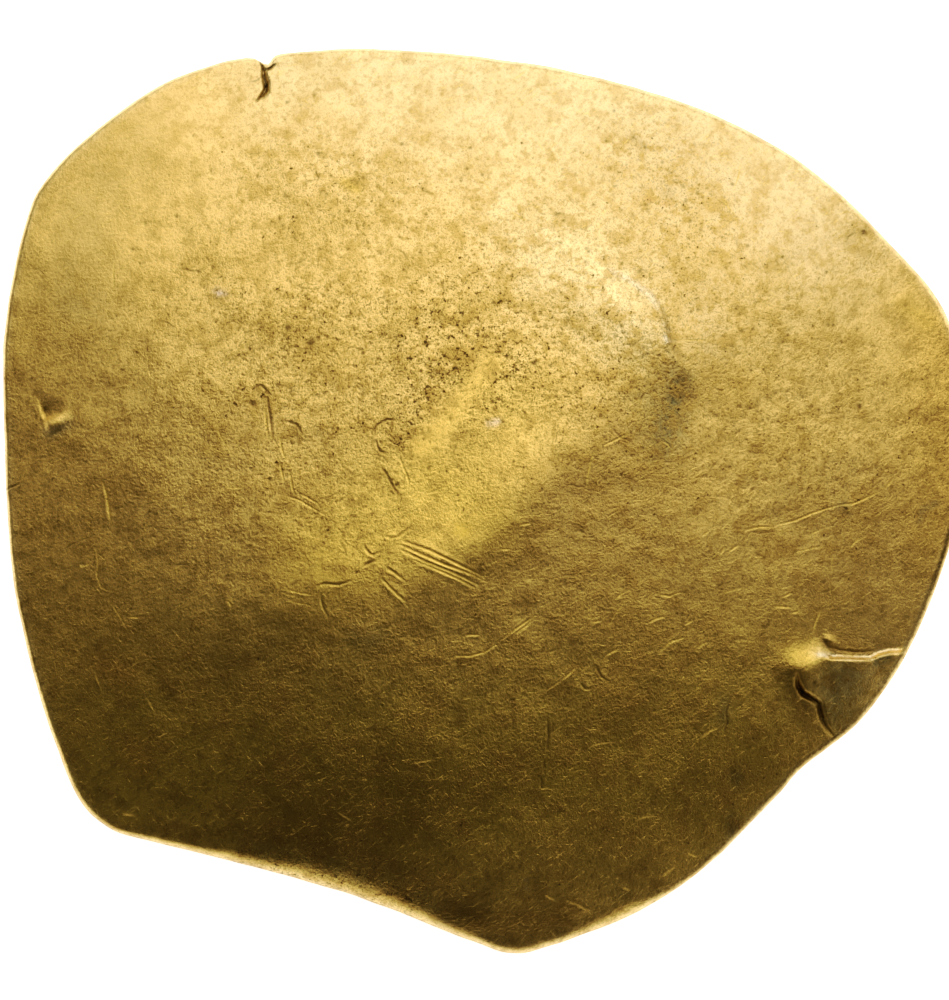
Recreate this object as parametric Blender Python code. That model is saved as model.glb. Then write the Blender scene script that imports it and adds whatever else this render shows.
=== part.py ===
"""A struck gold stater with a plain domed face, lying on its dished side.

Sizes are in millimetres here and become metres in the meshes. Seen from above, +X is right and +Y is up.
Bearings are in degrees, anticlockwise from +X.
"""

import math

import bmesh
import bpy
import numpy as np

MM = 0.001

# Flan seen from above, clockwise from the top left
OUTLINE = [
    (-3.70, 9.00), (-2.00, 9.06), (0.30, 8.85), (2.50, 8.42), (4.58, 7.74), (6.50, 6.66), (8.28, 4.98),
    (9.26, 3.72), (9.62, 2.02), (9.46, -0.38), (8.62, -2.70), (7.62, -4.28), (6.42, -5.28), (5.78, -5.96),
    (4.30, -7.42), (2.86, -8.32), (1.30, -8.90), (0.54, -9.06), (-0.30, -8.78), (-2.70, -7.86), (-5.10, -7.18),
    (-6.70, -6.80), (-7.58, -6.50), (-8.22, -5.78), (-8.94, -3.78), (-9.44, -1.48), (-9.62, 1.22), (-9.60, 3.52),
    (-9.22, 5.52), (-8.78, 6.46), (-7.76, 7.46), (-6.50, 8.34), (-5.14, 8.82),
]
MIDDLE = (0.0, 0.0)
MEAN_RADIUS = 9.3

# Domed face
RIM_TOP = 1.62
DOME_RISE = 1.45
TILT_Y = -0.065
SOFT_TURNS = range(-24, 25, 6)

# Brow: slopes below and to the right of the middle, each with a point on its bend, the bearing it faces, how much
# steeper than the dome it is, how far it lasts, the width of its bend, and how fast the bend widens to its left
BROW_SLOPES = [
    (-5.60, 0.80, 222, 0.072, 20.0, 2.6, 0.0),
    (-3.00, -2.42, 266, 0.08, 16.0, 0.9, 0.0),
    (1.93, 1.12, 313, 0.17, 12.0, 0.8, 0.4),
]
BROW_WIDENS_FROM = -0.6
BROW_BLEND = 4

# Broad strokes in the face: points, depth (a rise where negative) and half width
BROAD_STROKES = [
    ([(0.30, 6.22), (1.50, 5.38), (2.70, 4.52), (3.60, 4.20), (4.50, 3.80)], 0.03, 0.55),
    ([(1.70, 4.10), (2.70, 3.70), (3.40, 3.15)], -0.08, 0.65), ([(3.80, 2.10)], 0.03, 0.80),
    ([(-4.50, -2.05), (-3.40, -1.95), (-2.00, -1.45), (-0.40, -0.75), (1.20, 0.95)], -0.08, 0.80),
    ([(6.33, -3.35)], -0.12, 0.37), ([(6.90, -3.60), (7.90, -3.45)], -0.04, 0.65),
]

# Flap of metal folded over at the lower right: its upper edge, then its left side
FLAP_EDGE = [(6.55, -3.22), (8.27, -3.12)]
FLAP_SIDE = [(6.24, -3.48), (6.86, -4.68)]
FLAP_RISE = 0.15
FLAP_REACH = 1.5
FLAP_BACK = 0.2
FLAP_STEP = 0.3

# Wall of the flan: bearing, width and drop of its rounded shoulder
SHOULDER = [
    (0, 0.12, 0.12), (30, 0.12, 0.30), (60, 0.10, 0.42), (110, 0.08, 0.42), (150, 0.06, 0.42), (180, 0.06, 0.30),
    (205, 0.08, 0.24), (219, 0.10, 0.24), (229, 0.16, 0.27), (237, 0.28, 0.32), (245, 0.45, 0.39), (253, 0.47, 0.39),
    (260, 0.30, 0.32), (265, 0.20, 0.28), (271, 0.15, 0.26), (280, 0.15, 0.18), (288, 0.27, 0.27), (295, 0.12, 0.13),
    (335, 0.12, 0.12),
]
TOE_WIDTH = 0.16
TOE_RISE = 0.30

# Dished underside, which rests on worn flats along its rim
DISH_RISE = 1.02
DISH_SHARE = 0.93
REST_BEARINGS = [3, 107, 158, 222, 272]
REST_HALF = 11
REST_FADE = 14
REST_GAP = 0.09

# Split in the upper edge and nick in the left one, both right through, and a dent beside the nick
SPLIT = [
    (-4.94, 9.40), (-4.68, 8.86), (-4.48, 8.68), (-4.46, 8.50), (-4.50, 8.26), (-4.46, 7.98), (-4.36, 8.10),
    (-4.34, 8.26), (-4.40, 8.50), (-4.36, 8.70), (-4.22, 8.82), (-3.90, 9.40),
]
NICK = [(-9.90, 0.06), (-9.90, 0.22), (-9.44, 0.34), (-9.34, 0.38), (-9.42, 0.24)]
CUT_HEIGHT = 5.0
DENT_MIDDLE = (-8.76, 1.72)
DENT_SIZE = (0.24, 0.28, 0.10)
DENT_SEGMENTS = 12

# Mesh of the flan, in rings from the top of the face to the middle of the underside
SPOKES = 120
FACE_RINGS = 21
SHOULDER_RINGS = 4
TOE_RINGS = 4
UNDERSIDE_RINGS = 9

GOLD = (0.72, 0.50, 0.15, 1.0)
GOLD_ROUGHNESS = 0.42


def clear_scene():
    for obj in list(bpy.data.objects):
        bpy.data.objects.remove(obj, do_unlink=True)


def new_collection(name):
    collection = bpy.data.collections.new(name)
    bpy.context.scene.collection.children.link(collection)
    return collection


def gold():
    material = bpy.data.materials.new("gold_alloy")
    material.use_nodes = True
    shader = material.node_tree.nodes["Principled BSDF"]
    shader.inputs["Base Color"].default_value = GOLD
    shader.inputs["Metallic"].default_value = 1.0
    shader.inputs["Roughness"].default_value = GOLD_ROUGHNESS
    return material


def smooth(share):
    share = np.clip(share, 0.0, 1.0)
    return share * share * (3.0 - 2.0 * share)


def closed_curve(points, steps=24):
    """Points along a smooth closed curve through the given ones."""
    here = np.array(points, float)[:, None, :]
    before, after, beyond = (np.roll(here, shift, 0) for shift in (1, -1, -2))
    share = (np.arange(steps) / steps)[None, :, None]
    curve = 0.5 * (
        2 * here
        + (after - before) * share
        + (2 * before - 5 * here + 4 * after - beyond) * share**2
        + (3 * here - before - 3 * after + beyond) * share**3
    )
    return curve.reshape(-1, 2)


def polar(x, y, middle):
    return np.hypot(x - middle[0], y - middle[1]), np.arctan2(y - middle[1], x - middle[0])


def reach_of(points, middle):
    """A function that gives, for a bearing in radians, how far the closed curve lies from the middle."""
    curve = closed_curve(points)
    radii, bearings = polar(curve[:, 0], curve[:, 1], middle)
    order = np.argsort(bearings)
    return lambda bearing: np.interp(bearing, bearings[order], radii[order], period=2 * math.pi)


rim_reach = reach_of(OUTLINE, MIDDLE)


def around(bearing, stations):
    """The value at a bearing in radians, eased between stations of (degrees, value)."""
    degrees = np.array([row[0] for row in stations] + [stations[0][0] + 360.0], float)
    values = np.array([row[1] for row in stations] + [stations[0][1]], float)
    turned = (np.degrees(bearing) - degrees[0]) % 360.0 + degrees[0]
    span = np.clip(np.searchsorted(degrees, turned, side="right") - 1, 0, len(stations) - 1)
    share = smooth((turned - degrees[span]) / (degrees[span + 1] - degrees[span]))
    return values[span] + (values[span + 1] - values[span]) * share


def bearing_gap(bearing, degrees):
    """Degrees between a bearing in radians and a given one, from 0 to 180."""
    return np.abs((np.degrees(bearing) - degrees + 180.0) % 360.0 - 180.0)


def along(x, y, points):
    """Distance from a line of points, and the share of the line at the nearest place."""
    line = np.array(points, float)
    if len(line) == 1:
        return np.hypot(x - line[0, 0], y - line[0, 1]), np.full(np.shape(x), 0.5)
    lengths = np.hypot(*(line[1:] - line[:-1]).T)
    nearest = np.full(np.shape(x), 1e9)
    place = np.zeros(np.shape(x))
    passed = 0.0
    for start, end, length in zip(line[:-1], line[1:], lengths):
        share = ((x - start[0]) * (end[0] - start[0]) + (y - start[1]) * (end[1] - start[1])) / length**2
        share = np.clip(share, 0.0, 1.0)
        distance = np.hypot(x - start[0] - share * (end[0] - start[0]), y - start[1] - share * (end[1] - start[1]))
        closer = distance < nearest
        nearest = np.where(closer, distance, nearest)
        place = np.where(closer, (passed + share * length) / lengths.sum(), place)
        passed += length
    return nearest, place


def stroke(x, y, points, depth, half_width):
    """A groove with soft sides that fades out at both ends."""
    distance, place = along(x, y, points)
    fade = np.sin(math.pi * (0.05 + 0.9 * place)) ** 0.7
    return depth * fade * np.exp(-((distance / half_width) ** 2))


def side_of(x, y, line):
    """Distance to the left of a directed line, negative on its right."""
    (x0, y0), (x1, y1) = line
    return ((x1 - x0) * (y - y0) - (y1 - y0) * (x - x0)) / math.hypot(x1 - x0, y1 - y0)


def dome_fall(x, y):
    """0 at the middle and about 1 at the rim, round at first and of the outline's soft shape at last."""
    radius, bearing = polar(x, y, MIDDLE)
    reach = sum(rim_reach(bearing + math.radians(turn)) for turn in SOFT_TURNS) / len(SOFT_TURNS)
    share = np.clip(radius / reach, 0.0, 1.0)
    return radius**2 / (MEAN_RADIUS**2 + (reach**2 - MEAN_RADIUS**2) * share**4)


def brow_fall(x, y):
    """Drop below the dome beyond the brow."""
    total = 0.0
    for middle_x, middle_y, bearing, slope, lasting, bend_width, widening in BROW_SLOPES:
        ahead_x, ahead_y = math.cos(math.radians(bearing)), math.sin(math.radians(bearing))
        sideways = (y - middle_y) * ahead_x - (x - middle_x) * ahead_y
        width = bend_width + widening * np.maximum(sideways - BROW_WIDENS_FROM, 0.0)
        beyond = ((x - middle_x) * ahead_x + (y - middle_y) * ahead_y) / width + 0.5
        bend = np.clip(beyond, 0.0, 1.0)
        past = width * (bend**3 - 0.5 * bend**4 + np.maximum(beyond - 1.0, 0.0))
        total = total + (slope * lasting * (1.0 - np.exp(-past / lasting))) ** BROW_BLEND
    return total ** (1.0 / BROW_BLEND)


def flap(x, y):
    """Height that the folded metal adds: steep at its upper edge and left side, easing down to the rim."""
    below = -side_of(x, y, FLAP_EDGE)
    inside = side_of(x, y, FLAP_SIDE)
    edge = np.where(below < 0.0, 1.0 + below / FLAP_BACK, 1.0 - below / FLAP_REACH)
    return FLAP_RISE * np.clip(edge, 0.0, 1.0) * smooth(inside / FLAP_STEP + 0.5)


def face_height(x, y):
    height = RIM_TOP + DOME_RISE * (1.0 - dome_fall(x, y)) + TILT_Y * y - brow_fall(x, y) + flap(x, y)
    return height - sum(stroke(x, y, *row) for row in BROAD_STROKES)


def underside_height(x, y):
    radius, bearing = polar(x, y, MIDDLE)
    gaps = [bearing_gap(bearing, rest) for rest in REST_BEARINGS]
    foot = REST_GAP * smooth((np.minimum.reduce(gaps) - REST_HALF) / REST_FADE)
    dish = np.clip(1.0 - dome_fall(x, y) / DISH_SHARE**2, 0.0, 1.0)
    return foot * (1.0 - dish) + DISH_RISE * dish


def flan_point(ring, bearing):
    """Where the point of one ring and one bearing lies."""
    reach = rim_reach(bearing)
    shoulder = around(bearing, [(row[0], row[1]) for row in SHOULDER])
    drop = around(bearing, [(row[0], row[2]) for row in SHOULDER])
    turn = SHOULDER_RINGS + TOE_RINGS
    if ring <= FACE_RINGS:
        radius = (reach - shoulder) * ring / FACE_RINGS
        return radius, face_height(radius * math.cos(bearing), radius * math.sin(bearing))
    if ring <= FACE_RINGS + SHOULDER_RINGS:
        angle = 0.5 * math.pi * (ring - FACE_RINGS) / SHOULDER_RINGS
        radius = reach - shoulder * (1.0 - math.sin(angle))
        top = face_height(radius * math.cos(bearing), radius * math.sin(bearing))
        return radius, top - drop * (1.0 - math.cos(angle))
    if ring <= FACE_RINGS + turn:
        angle = 0.5 * math.pi * (ring - FACE_RINGS - SHOULDER_RINGS) / TOE_RINGS
        radius = reach - TOE_WIDTH * (1.0 - math.cos(angle))
        foot = underside_height(radius * math.cos(bearing), radius * math.sin(bearing))
        return radius, foot + TOE_RISE * (1.0 - math.sin(angle))
    share = 1.0 - (ring - FACE_RINGS - turn - 1) / (UNDERSIDE_RINGS - 1)
    radius = DISH_SHARE * reach * share
    return radius, underside_height(radius * math.cos(bearing), radius * math.sin(bearing))


def flan_mesh():
    """A sphere of rings and spokes, laid over the face, the wall and the underside."""
    rings = FACE_RINGS + SHOULDER_RINGS + TOE_RINGS + UNDERSIDE_RINGS
    form = bmesh.new()
    bmesh.ops.create_uvsphere(form, u_segments=SPOKES, v_segments=rings, radius=1.0)
    for vertex in form.verts:
        ring = round(math.acos(max(-1.0, min(1.0, vertex.co.z))) / math.pi * rings)
        bearing = math.atan2(vertex.co.y, vertex.co.x) if 0 < ring < rings else 0.0
        radius, height = flan_point(ring, bearing)
        vertex.co = (radius * math.cos(bearing) * MM, radius * math.sin(bearing) * MM, float(height) * MM)
    mesh = bpy.data.meshes.new("stater")
    form.to_mesh(mesh)
    form.free()
    return mesh


def through_cutter(name, outline):
    """A plate with the given outline, seen from above, tall enough to pass right through the flan."""
    form = bmesh.new()
    corners = [form.verts.new((x * MM, y * MM, -0.5 * CUT_HEIGHT * MM)) for x, y in outline]
    floor = form.faces.new(corners)
    wall = bmesh.ops.extrude_face_region(form, geom=[floor])["geom"]
    raised = [item for item in wall if isinstance(item, bmesh.types.BMVert)]
    bmesh.ops.translate(form, verts=raised, vec=(0.0, 0.0, 1.5 * CUT_HEIGHT * MM))
    bmesh.ops.recalc_face_normals(form, faces=form.faces)
    mesh = bpy.data.meshes.new(name)
    form.to_mesh(mesh)
    form.free()
    return bpy.data.objects.new(name, mesh)


def dent_cutter():
    form = bmesh.new()
    bmesh.ops.create_uvsphere(form, u_segments=DENT_SEGMENTS, v_segments=DENT_SEGMENTS // 2, radius=MM)
    bmesh.ops.scale(form, verts=form.verts, vec=DENT_SIZE)
    mesh = bpy.data.meshes.new("dent_cutter")
    form.to_mesh(mesh)
    form.free()
    cutter = bpy.data.objects.new("dent_cutter", mesh)
    height = float(face_height(*DENT_MIDDLE))
    cutter.location = (DENT_MIDDLE[0] * MM, DENT_MIDDLE[1] * MM, height * MM)
    return cutter


def cut_away(body, cutter, cutters):
    cutters.objects.link(cutter)
    cutter.hide_render = True
    cutter.display_type = "WIRE"
    cut = body.modifiers.new(cutter.name, "BOOLEAN")
    cut.operation = "DIFFERENCE"
    cut.solver = "EXACT"
    cut.object = cutter


def build():
    clear_scene()
    stater = new_collection("Stater")
    cutters = new_collection("Cutters")
    cutters.hide_render = True
    flan = bpy.data.objects.new("stater", flan_mesh())
    flan.data.materials.append(gold())
    stater.objects.link(flan)
    cut_away(flan, through_cutter("split_cutter", SPLIT), cutters)
    cut_away(flan, through_cutter("nick_cutter", NICK), cutters)
    cut_away(flan, dent_cutter(), cutters)


build()
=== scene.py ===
"""A struck gold stater with a plain domed face, lying on its dished side on a pale floor.

The whole coin is one fine mesh. Lengths are in millimetres and become metres in the mesh. Seen from above,
+X is right and +Y is up. Bearings are in degrees, anticlockwise from +X. The small marks on the face are
placed by their pixel in the photograph, as (across, down), with their widths and depths in millimetres.
"""

import math

import bpy
import numpy as np
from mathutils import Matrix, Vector
from mathutils.geometry import delaunay_2d_cdt


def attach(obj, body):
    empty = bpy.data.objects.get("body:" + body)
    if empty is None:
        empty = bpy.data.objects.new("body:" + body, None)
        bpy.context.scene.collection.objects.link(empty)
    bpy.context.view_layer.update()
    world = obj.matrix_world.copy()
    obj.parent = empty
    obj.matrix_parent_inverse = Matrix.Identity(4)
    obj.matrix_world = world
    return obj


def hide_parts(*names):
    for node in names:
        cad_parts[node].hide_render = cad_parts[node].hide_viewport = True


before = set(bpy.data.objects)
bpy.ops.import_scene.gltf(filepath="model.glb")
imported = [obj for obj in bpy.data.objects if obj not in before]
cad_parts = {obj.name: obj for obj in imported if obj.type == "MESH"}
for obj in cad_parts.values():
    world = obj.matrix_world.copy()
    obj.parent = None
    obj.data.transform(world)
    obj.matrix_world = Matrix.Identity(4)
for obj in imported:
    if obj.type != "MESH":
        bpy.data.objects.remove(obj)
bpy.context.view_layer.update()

MM = 0.001

# Flan seen from above, clockwise from the top left
OUTLINE = [
    (-3.70, 9.00), (-2.00, 9.06), (0.30, 8.85), (2.50, 8.42), (4.58, 7.74), (6.50, 6.66), (8.28, 4.98),
    (9.26, 3.72), (9.62, 2.02), (9.46, -0.38), (8.62, -2.70), (7.62, -4.28), (6.42, -5.28), (5.78, -5.96),
    (4.30, -7.42), (2.86, -8.32), (1.30, -8.90), (0.54, -9.06), (-0.30, -8.78), (-2.70, -7.86),
    (-5.10, -7.18), (-6.70, -6.80), (-7.58, -6.50), (-8.22, -5.78), (-8.94, -3.78), (-9.44, -1.48),
    (-9.62, 1.22), (-9.60, 3.52), (-9.22, 5.52), (-8.78, 6.46), (-7.76, 7.46), (-6.50, 8.34), (-5.14, 8.82),
]
MIDDLE = (0.0, 0.0)
MEAN_RADIUS = 9.3

# Domed face
RIM_TOP = 1.62
DOME_RISE = 1.45
TILT_Y = -0.065
SOFT_TURNS = range(-24, 25, 6)

# Brow: slopes below and to the right of the middle, each with a point on its bend, the bearing it faces, how
# much steeper than the dome it is, how far it lasts, the width of its bend, and how fast the bend widens to
# its left
BROW_SLOPES = [
    (-5.60, 0.80, 222, 0.072, 20.0, 2.6, 0.0),
    (-3.00, -2.42, 266, 0.08, 16.0, 0.9, 0.0),
    (1.93, 1.12, 313, 0.17, 12.0, 0.8, 0.4),
]
BROW_WIDENS_FROM = -0.6
BROW_BLEND = 4

# Broad strokes in the face: points, depth (a rise where negative) and half width
BROAD_STROKES = [
    ([(0.30, 6.22), (1.50, 5.38), (2.70, 4.52), (3.60, 4.20), (4.50, 3.80)], 0.03, 0.55),
    ([(1.70, 4.10), (2.70, 3.70), (3.40, 3.15)], -0.06, 0.65), ([(3.80, 2.10)], 0.03, 0.80),
    ([(-4.50, -2.05), (-3.40, -1.95), (-2.00, -1.45), (-0.40, -0.75), (1.20, 0.95)], -0.08, 0.80),
    ([(6.33, -3.35)], -0.12, 0.37), ([(6.90, -3.60), (7.90, -3.45)], -0.04, 0.65),
]

# Flap of metal folded over at the lower right: its crest, how far the scarp behind the crest reaches, and its
# left side
FLAP_CREST = [
    (6.26, -3.50), (6.44, -3.40), (6.58, -3.30), (6.70, -3.20), (6.90, -3.18), (7.70, -3.20), (7.90, -3.12),
    (8.10, -3.08), (8.40, -3.08),
]
FLAP_SCARP = [(6.60, 0.60), (6.92, 0.09), (7.70, 0.09), (7.90, 0.11), (8.40, 0.13)]
FLAP_SIDE = [
    (-2.60, 6.00), (-3.20, 6.20), (-3.46, 6.25), (-3.74, 6.27), (-3.86, 6.40), (-3.98, 6.62), (-4.20, 6.73),
    (-4.44, 6.80), (-4.66, 6.94), (-4.90, 7.10),
]
FLAP_RISE = 0.15
FLAP_REACH = 1.5
FLAP_TAPER = (6.10, 7.00)
FLAP_SHARP_SIDE = 0.05
FLAP_SIDE_BELOW = -3.40
FLAP_SIDE_BLEND = 0.60
FLAP_TONGUE = [(6.80, -2.72), (7.00, -2.86)]
FLAP_TONGUE_RISE = 0.05
FLAP_TONGUE_HALF = 0.075

# Wedge-shaped dent at the left: its deepest corner, and the walls that meet there
DENT_CORNER = (-8.80, 1.62)
DENT_WALL_BEARING = 108
DENT_LIP_BEARING = 18
DENT_DEPTH = 0.055
DENT_REACH = 0.55
DENT_WALL = 0.07
DENT_LIP_RISE = 0.085
DENT_LIP_HALF = 0.15
DENT_LIP_OUT = 0.13
DENT_LIP_SPAN = 1.3
DENT_LIP_FADE = 0.45
DENT_LIP_START = 0.15

# Step at the right end of a low swell, as pixels, with its rise, width, how far the swell lasts and the share
# of the step that each soft end takes
NOSE_STEP = [
    (610, 270), (633, 281), (650, 293), (660, 307), (665, 323), (668, 342), (673, 354), (683, 367),
    (700, 382),
]
NOSE_RISE = 0.062
NOSE_WIDTH = 0.10
NOSE_LENGTH = 0.9
NOSE_ENDS = 0.35

# Unevenness of the face: height, width of its features and seed
FACE_UNEVENNESS = [(0.012, 1.5, 1), (0.007, 0.6, 2), (0.0032, 0.26, 3)]

# Wall of the flan: bearing, width and drop of its rounded shoulder, and the dirt and painted shade on it by
# bearing and by ring
SHOULDER = [
    (0, 0.12, 0.12), (30, 0.12, 0.30), (60, 0.10, 0.42), (110, 0.08, 0.42), (150, 0.06, 0.42),
    (180, 0.06, 0.30), (205, 0.08, 0.24), (219, 0.10, 0.24), (229, 0.16, 0.27), (237, 0.28, 0.32),
    (245, 0.45, 0.39), (253, 0.47, 0.39), (260, 0.30, 0.32), (265, 0.20, 0.28), (271, 0.15, 0.26),
    (280, 0.15, 0.18), (288, 0.27, 0.27), (295, 0.12, 0.13), (335, 0.12, 0.12),
]
SHOULDER_UNEVENNESS = [(0.14, 0.45, 43)]
# The dark band along the lower right rim, where it turns away from the light, is painted shade
RIM_DIRT_AND_SHADE = [
    (0, 0.6), (18, 0.0), (205, 0.0), (225, 0.1), (242, 0.1), (254, 0.12), (262, 0.15), (276, 0.15),
    (290, 0.10), (300, 0.65), (322, 0.75), (338, 0.65), (346, 0.70), (352, 0.95),
]
RIM_DIRT_AND_SHADE_BY_RING = [0.8, 1.0, 0.8, 0.3, 0.0, 0.0, 0.0]
TOE_WIDTH = 0.16
TOE_RISE = 0.30
RIM_WOBBLE = [(0.016, 1.1, 31), (0.008, 0.45, 32)]

# Roughness of the shoulder and of the wall: height, shift from ring to ring, width of its features and seed
SHOULDER_ROUGHNESS = (0.012, 0.6, 0.5, 41)
WALL_ROUGHNESS = (0.02, 2.0, 0.9, 42)

# Dished underside, which rests on worn flats along its rim
DISH_RISE = 1.02
DISH_SHARE = 0.93
REST_BEARINGS = [3, 107, 158, 222, 272]
REST_HALF = 11
REST_FADE = 14
REST_GAP = 0.09

# Mouth of the split in the upper edge: bearing and how far the rim is set back
MOUTH = [
    (114.4, 0.0), (115.2, 0.03), (115.7, 0.09), (116.0, 0.15), (116.4, 0.20), (116.8, 0.18), (117.1, 0.12),
    (117.5, 0.04), (118.3, 0.0),
]

# Worn remains of the struck design in the dish: lines and pellets, with their height and half width
WORN_LINES = [
    ([(-4.6, 1.2), (-3.4, 2.6), (-1.6, 3.4), (0.6, 3.2), (2.4, 2.2)], 0.10, 0.34),
    ([(-3.6, -2.6), (-1.8, -3.4), (0.4, -3.5), (2.4, -2.8), (3.8, -1.5)], 0.09, 0.30),
    ([(3.6, 3.8), (4.7, 2.6), (5.1, 1.0)], 0.08, 0.26),
    ([(-5.4, -0.6), (-5.0, -2.2), (-4.0, -3.6)], 0.07, 0.24),
    ([(-1.9, 0.9), (-0.6, 1.4), (0.9, 1.0)], 0.08, 0.22),
    ([(-1.4, -0.9), (0.1, -1.4), (1.5, -0.8)], 0.07, 0.22),
]
PELLETS = [
    (-3.0, 0.4), (2.9, 0.5), (0.2, 4.9), (-3.3, 4.6), (4.4, -3.3), (0.9, -5.2), (-2.3, -5.1), (-5.9, 2.2),
]
PELLET_HEIGHT = 0.13
PELLET_HALF = 0.36
DISH_UNEVENNESS = [(0.018, 1.7, 21), (0.008, 0.7, 22)]
RELIEF_FADE = 3.0

# Mesh of the wall: numbers of points around and down it, and the bearings and half widths where it is finer
WALL_SPOKES = 1200
CLOSE_SPOKES = [(116.4, 2.6), (178.4, 0.7)]
CLOSENESS = 5.0
BEARING_STEPS = 20001
SHOULDER_RINGS = 6
WALL_RINGS = 2
TOE_RINGS = 4

# Mesh of both sides: insets and spacing of the rows of points along the border, and for the grid between them
# its spacing, seed, margin to the ring and gap to the other points
FACE_BORDER = ((0.05, 0.11), 0.04)
FACE_BORDER_GAP = 0.03
FACE_GRID = (0.1045, 5, 0.05, 0.034)
UNDERSIDE_BORDER = ((0.07, 0.17), 0.08)
UNDERSIDE_GRID = (0.19, 6, 0.1, 0.06)
GRID_HALF = 10.0
GRID_ROW_STEP = 0.866
GRID_SHAKE = 0.16
ROW_KEY = 1000003
MERGE_DISTANCE = 1e-7

# Mesh of the marks: rows beside a mark and circles round its ends, in half widths, and the least spacings of
# their points
MARK_ROWS = (0.0, 0.8, -0.8, 1.75, -1.75, 2.8, -2.8)
MARK_ENDS = ((0.0, 1), (0.8, 6), (1.8, 9))
MARK_STEP = 1.1
MARK_LEAST_STEP = 0.026
MARK_SPACING = 0.012

# Blocks with a finer mesh at the flap, the split, the dent and the nose: across, up and spacing
CLOSE_BLOCKS = [
    ((6.0, 8.5), (-4.8, -2.6), 0.03), ((-4.8, -4.0), (7.9, 8.7), 0.025), ((-9.1, -8.0), (1.2, 2.3), 0.025),
    ((2.8, 4.2), (2.3, 4.5), 0.04),
]
BLOCK_GAP = 0.5
BLOCK_MARGIN = 0.6

# Flat layout of the faces: scale and shift of both sides, and where the two columns of the wall's strips lie
FACE_LAYOUT = (0.0385, (0.376, 0.354))
UNDERSIDE_LAYOUT = (0.0155, (0.155, 0.855))
STRIP_COLUMNS = (0.79, 0.895)
STRIP_WIDTH = 0.085
STRIP_START = 0.01
STRIP_SCALE = 0.032

# Soft random unevenness
NOISE_MIX = (374761393, 668265263, 974634777, 1274126177)
NOISE_BITS = 0xFFFFFFFF
NOISE_GAIN = 1.5

# How a line fades at its ends and, in half widths, how far marks and soft spots reach and where the raised
# edges of a mark stand
FADE_MARGIN = 0.05
FADE_POWER = 0.7
MARK_REACH = 3.2
RAISED_AT = 1.75
RAISED_HALF = 0.6
SPOT_REACH = 2.6

# Where the photograph's pixels lie, and lines that several tables use: the ridge round the nose, the smooth
# streak down the brow, the rough streak to its left, and the upper edge of the face
PIXELS_PER_MM = 50.0
MIDDLE_PIXEL = (485.0, 501.0)
PHOTO_SIZE = (949, 1000)
NOSE_RIDGE = [(612, 272), (632, 283), (648, 295), (657, 308), (663, 323), (666, 342)]
SMOOTH_STREAK = [(490, 365), (453, 415), (422, 446)]
ROUGH_STREAK = [(403, 440), (430, 380), (457, 375)]
UPPER_EDGE = [(150, 130), (400, 60), (700, 90)]

# Kinds of mark: half width, depth, height of the raised edges as a share of the depth, dirt, scuffing
KINDS = {
    "hair": (0.014, 0.0028, 0.3, 0.0, 0.80),
    "scratch": (0.018, 0.0070, 0.3, 0.0, 1.0),
    "cut": (0.024, 0.0120, 0.5, 0.10, 1.0),
    "line": (0.018, 0.003, 0.1, 0.50, 0.0),
    "crack": (0.024, 0.010, 0.3, 0.80, 0.0),
    "cleft": (0.020, 0.045, 0.02, 1.0, 0.0),
    "split": (0.048, 0.100, 0.02, 1.0, 0.0),
    "pore": (0.030, 0.007, 0.2, 0.60, 0.0),
    "pit": (0.050, 0.014, 0.2, 0.80, 0.0),
    "ridge": (0.050, -0.013, 0.0, 0.0, 0.2),
    # A gleam is a painted highlight: a small spot of bright fresh metal on a faint rise
    "painted_highlight": (0.060, -0.002, 0.0, 0.0, 0.6),
}

# Pores, each as its pixel
PORES = [
    (133, 250), (199, 273), (177, 217), (280, 220), (283, 227), (168, 298), (213, 269), (291, 283),
    (310, 310), (315, 317), (332, 310), (421, 293), (384, 299), (388, 303), (470, 149), (461, 182),
    (402, 145), (426, 216), (331, 177), (363, 179), (381, 255), (465, 257), (481, 245), (420, 254),
    (404, 271), (347, 318), (410, 330), (416, 322), (209, 442), (160, 460), (534, 315), (567, 321),
    (544, 328), (550, 368), (549, 398), (576, 393), (586, 404), (502, 403), (514, 398), (536, 439),
    (614, 338), (583, 342), (658, 357), (630, 388), (653, 392), (640, 399), (620, 412), (600, 417),
    (668, 345), (672, 350), (621, 265), (586, 250), (588, 253), (585, 263), (639, 273), (614, 111),
    (606, 142), (633, 138), (645, 148), (662, 163), (685, 202), (700, 231), (690, 222), (697, 194),
    (645, 206), (593, 206), (556, 216), (563, 222), (510, 243), (484, 246), (467, 170), (482, 176),
    (732, 185), (747, 247), (782, 258), (826, 273), (812, 327), (828, 326), (833, 326), (787, 336),
    (782, 343), (841, 343), (857, 330), (874, 357), (750, 372), (759, 385), (775, 394), (786, 392),
    (802, 398), (818, 411), (739, 408), (749, 409), (715, 417), (767, 420), (883, 385), (849, 377),
    (866, 380), (758, 436), (745, 440), (728, 468), (735, 485), (747, 486), (751, 490), (765, 480),
    (777, 422), (784, 428), (751, 545), (757, 555), (823, 583), (752, 330), (735, 310), (697, 311),
    (690, 313), (257, 741), (195, 705), (200, 707), (542, 782),
]

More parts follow.
